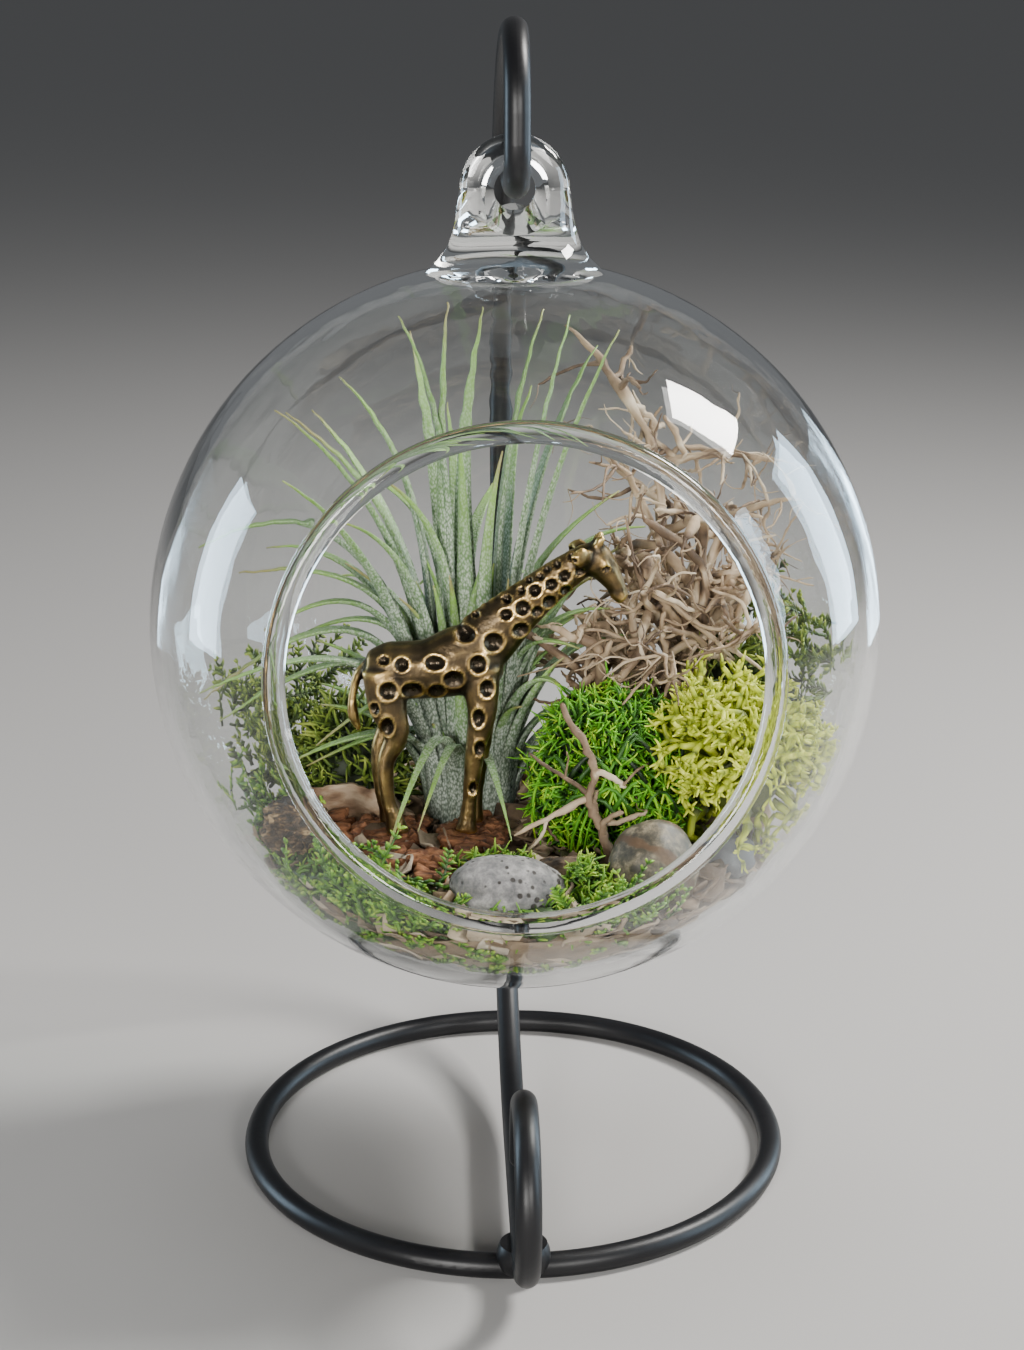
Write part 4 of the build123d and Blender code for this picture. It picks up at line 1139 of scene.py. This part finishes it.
litterFinish, wire = startFinish("dryLitter")
tone = painted(wire, "tone")
veins, stain = grain(wire, 380.0, 5.0), grain(wire, 60.0, 3.0)
dead = ramp(wire, tone * 0.75 + veins * 0.35 + (stain - 0.5) * 0.4, [
    (0.1, 0.045, 0.028, 0.016), (0.35, 0.15, 0.1, 0.06), (0.6, 0.31, 0.225, 0.145),
    (0.85, 0.46, 0.37, 0.27), (1.0, 0.58, 0.5, 0.4)])
crinkled = bump(wire, veins + stain * 0.5, 0.6, 0.0008)
endFinish(wire, Base_Color=dead, Roughness=0.7 + veins * 0.2, Normal=crinkled)
bm = bmesh.new()
low = math.acos((middle.z - globe["bedTop"] + 0.0005) / litter["room"])
rim = bmesh.ops.create_circle(bm, segments=litter["sides"], radius=litter["room"] * math.sin(low))["verts"]
bmesh.ops.translate(bm, vec=(0, middle.y, glassDepth(low)), verts=rim)
edges = list(bm.edges)
for part in range(1, litter["down"]):  # down the glass to the bottom
    ring, edges = nextRing(bm, edges)
    angle = low * (1 - part / litter["down"])
    for vert in ring:
        flat = flatWay(vert) * litter["room"] * math.sin(angle)
        vert.co = (flat.x, flat.y + middle.y, glassDepth(angle))
bmesh.ops.edgeloop_fill(bm, edges=edges)
edges = [edge for edge in bm.edges if edge.is_boundary]
for part in range(1, litter["across"]):  # in over the top
    ring, edges = nextRing(bm, edges)
    for vert in ring:
        flat = flatWay(vert) * globe["bedRadius"] * (1 - part / litter["across"])
        rise = litter["wave"] * brokenNoise(Vector((flat.x, flat.y, 0)) * 110)
        vert.co = (flat.x, flat.y + middle.y, globe["bedTop"] - 0.0006 + rise)
bmesh.ops.edgeloop_fill(bm, edges=edges)
toneLayer = newLayers(bm, "tone")[0]
for vert in bm.verts:
    vert[toneLayer] = litter["bedTone"]
random.seed(litter["seed"])
flakes = []
for number in range(litter["flakes"]):  # curled bits of leaf
    flake = bmesh.new()
    bmesh.ops.create_grid(flake, x_segments=4, y_segments=2, size=0.5)
    bow, cup, thin = random.uniform(-0.9, 0.9), random.uniform(-0.7, 0.7), random.uniform(0.45, 0.85)
    for vert in flake.verts:
        x, y = vert.co.x, vert.co.y
        right = x + random.uniform(-0.06, 0.06)
        back = y * thin * (1.15 - 1.7 * x * x) + random.uniform(-0.07, 0.07)
        vert.co = (right, back, bow * x * x + cup * y * y)
    bmesh.ops.solidify(flake, geom=list(flake.faces), thickness=0.05)
    newLayers(flake, "tone")
    flakes.append(meshOf(flake))
for number in range(litter["top"]):
    place = onBed(math.sqrt(random.random()) * 0.97, random.uniform(0, 360), random.uniform(-0.0006, 0.0016))
    turned = tumble(litter["lean"])
    flake = random.choice(flakes)
    sized = Matrix.Scale(random.uniform(*litter["topSize"]), 4)
    layFlake(bm, flake, Matrix.Translation(place) @ turned @ sized)
for number in range(litter["glass"]):
    heading = random.uniform(0, 360)
    place = againstGlass(heading, glassDepth(low * random.uniform(0.25, 1.0)), litter["glassGap"])
    facing = (middle - place).normalized().to_track_quat("Z", "Y").to_matrix().to_4x4()
    turned = facing @ Matrix.Rotation(random.uniform(0, fullTurn), 4, "Z")
    flat = Matrix.Diagonal((1, 1, 0.35, 1)) @ Matrix.Scale(random.uniform(*litter["glassSize"]), 4)
    layFlake(bm, random.choice(flakes), Matrix.Translation(place) @ turned @ flat)
addPiece("litterBed", meshOf(bm), litterFinish, ["litter_bed"])
print("litter laid")
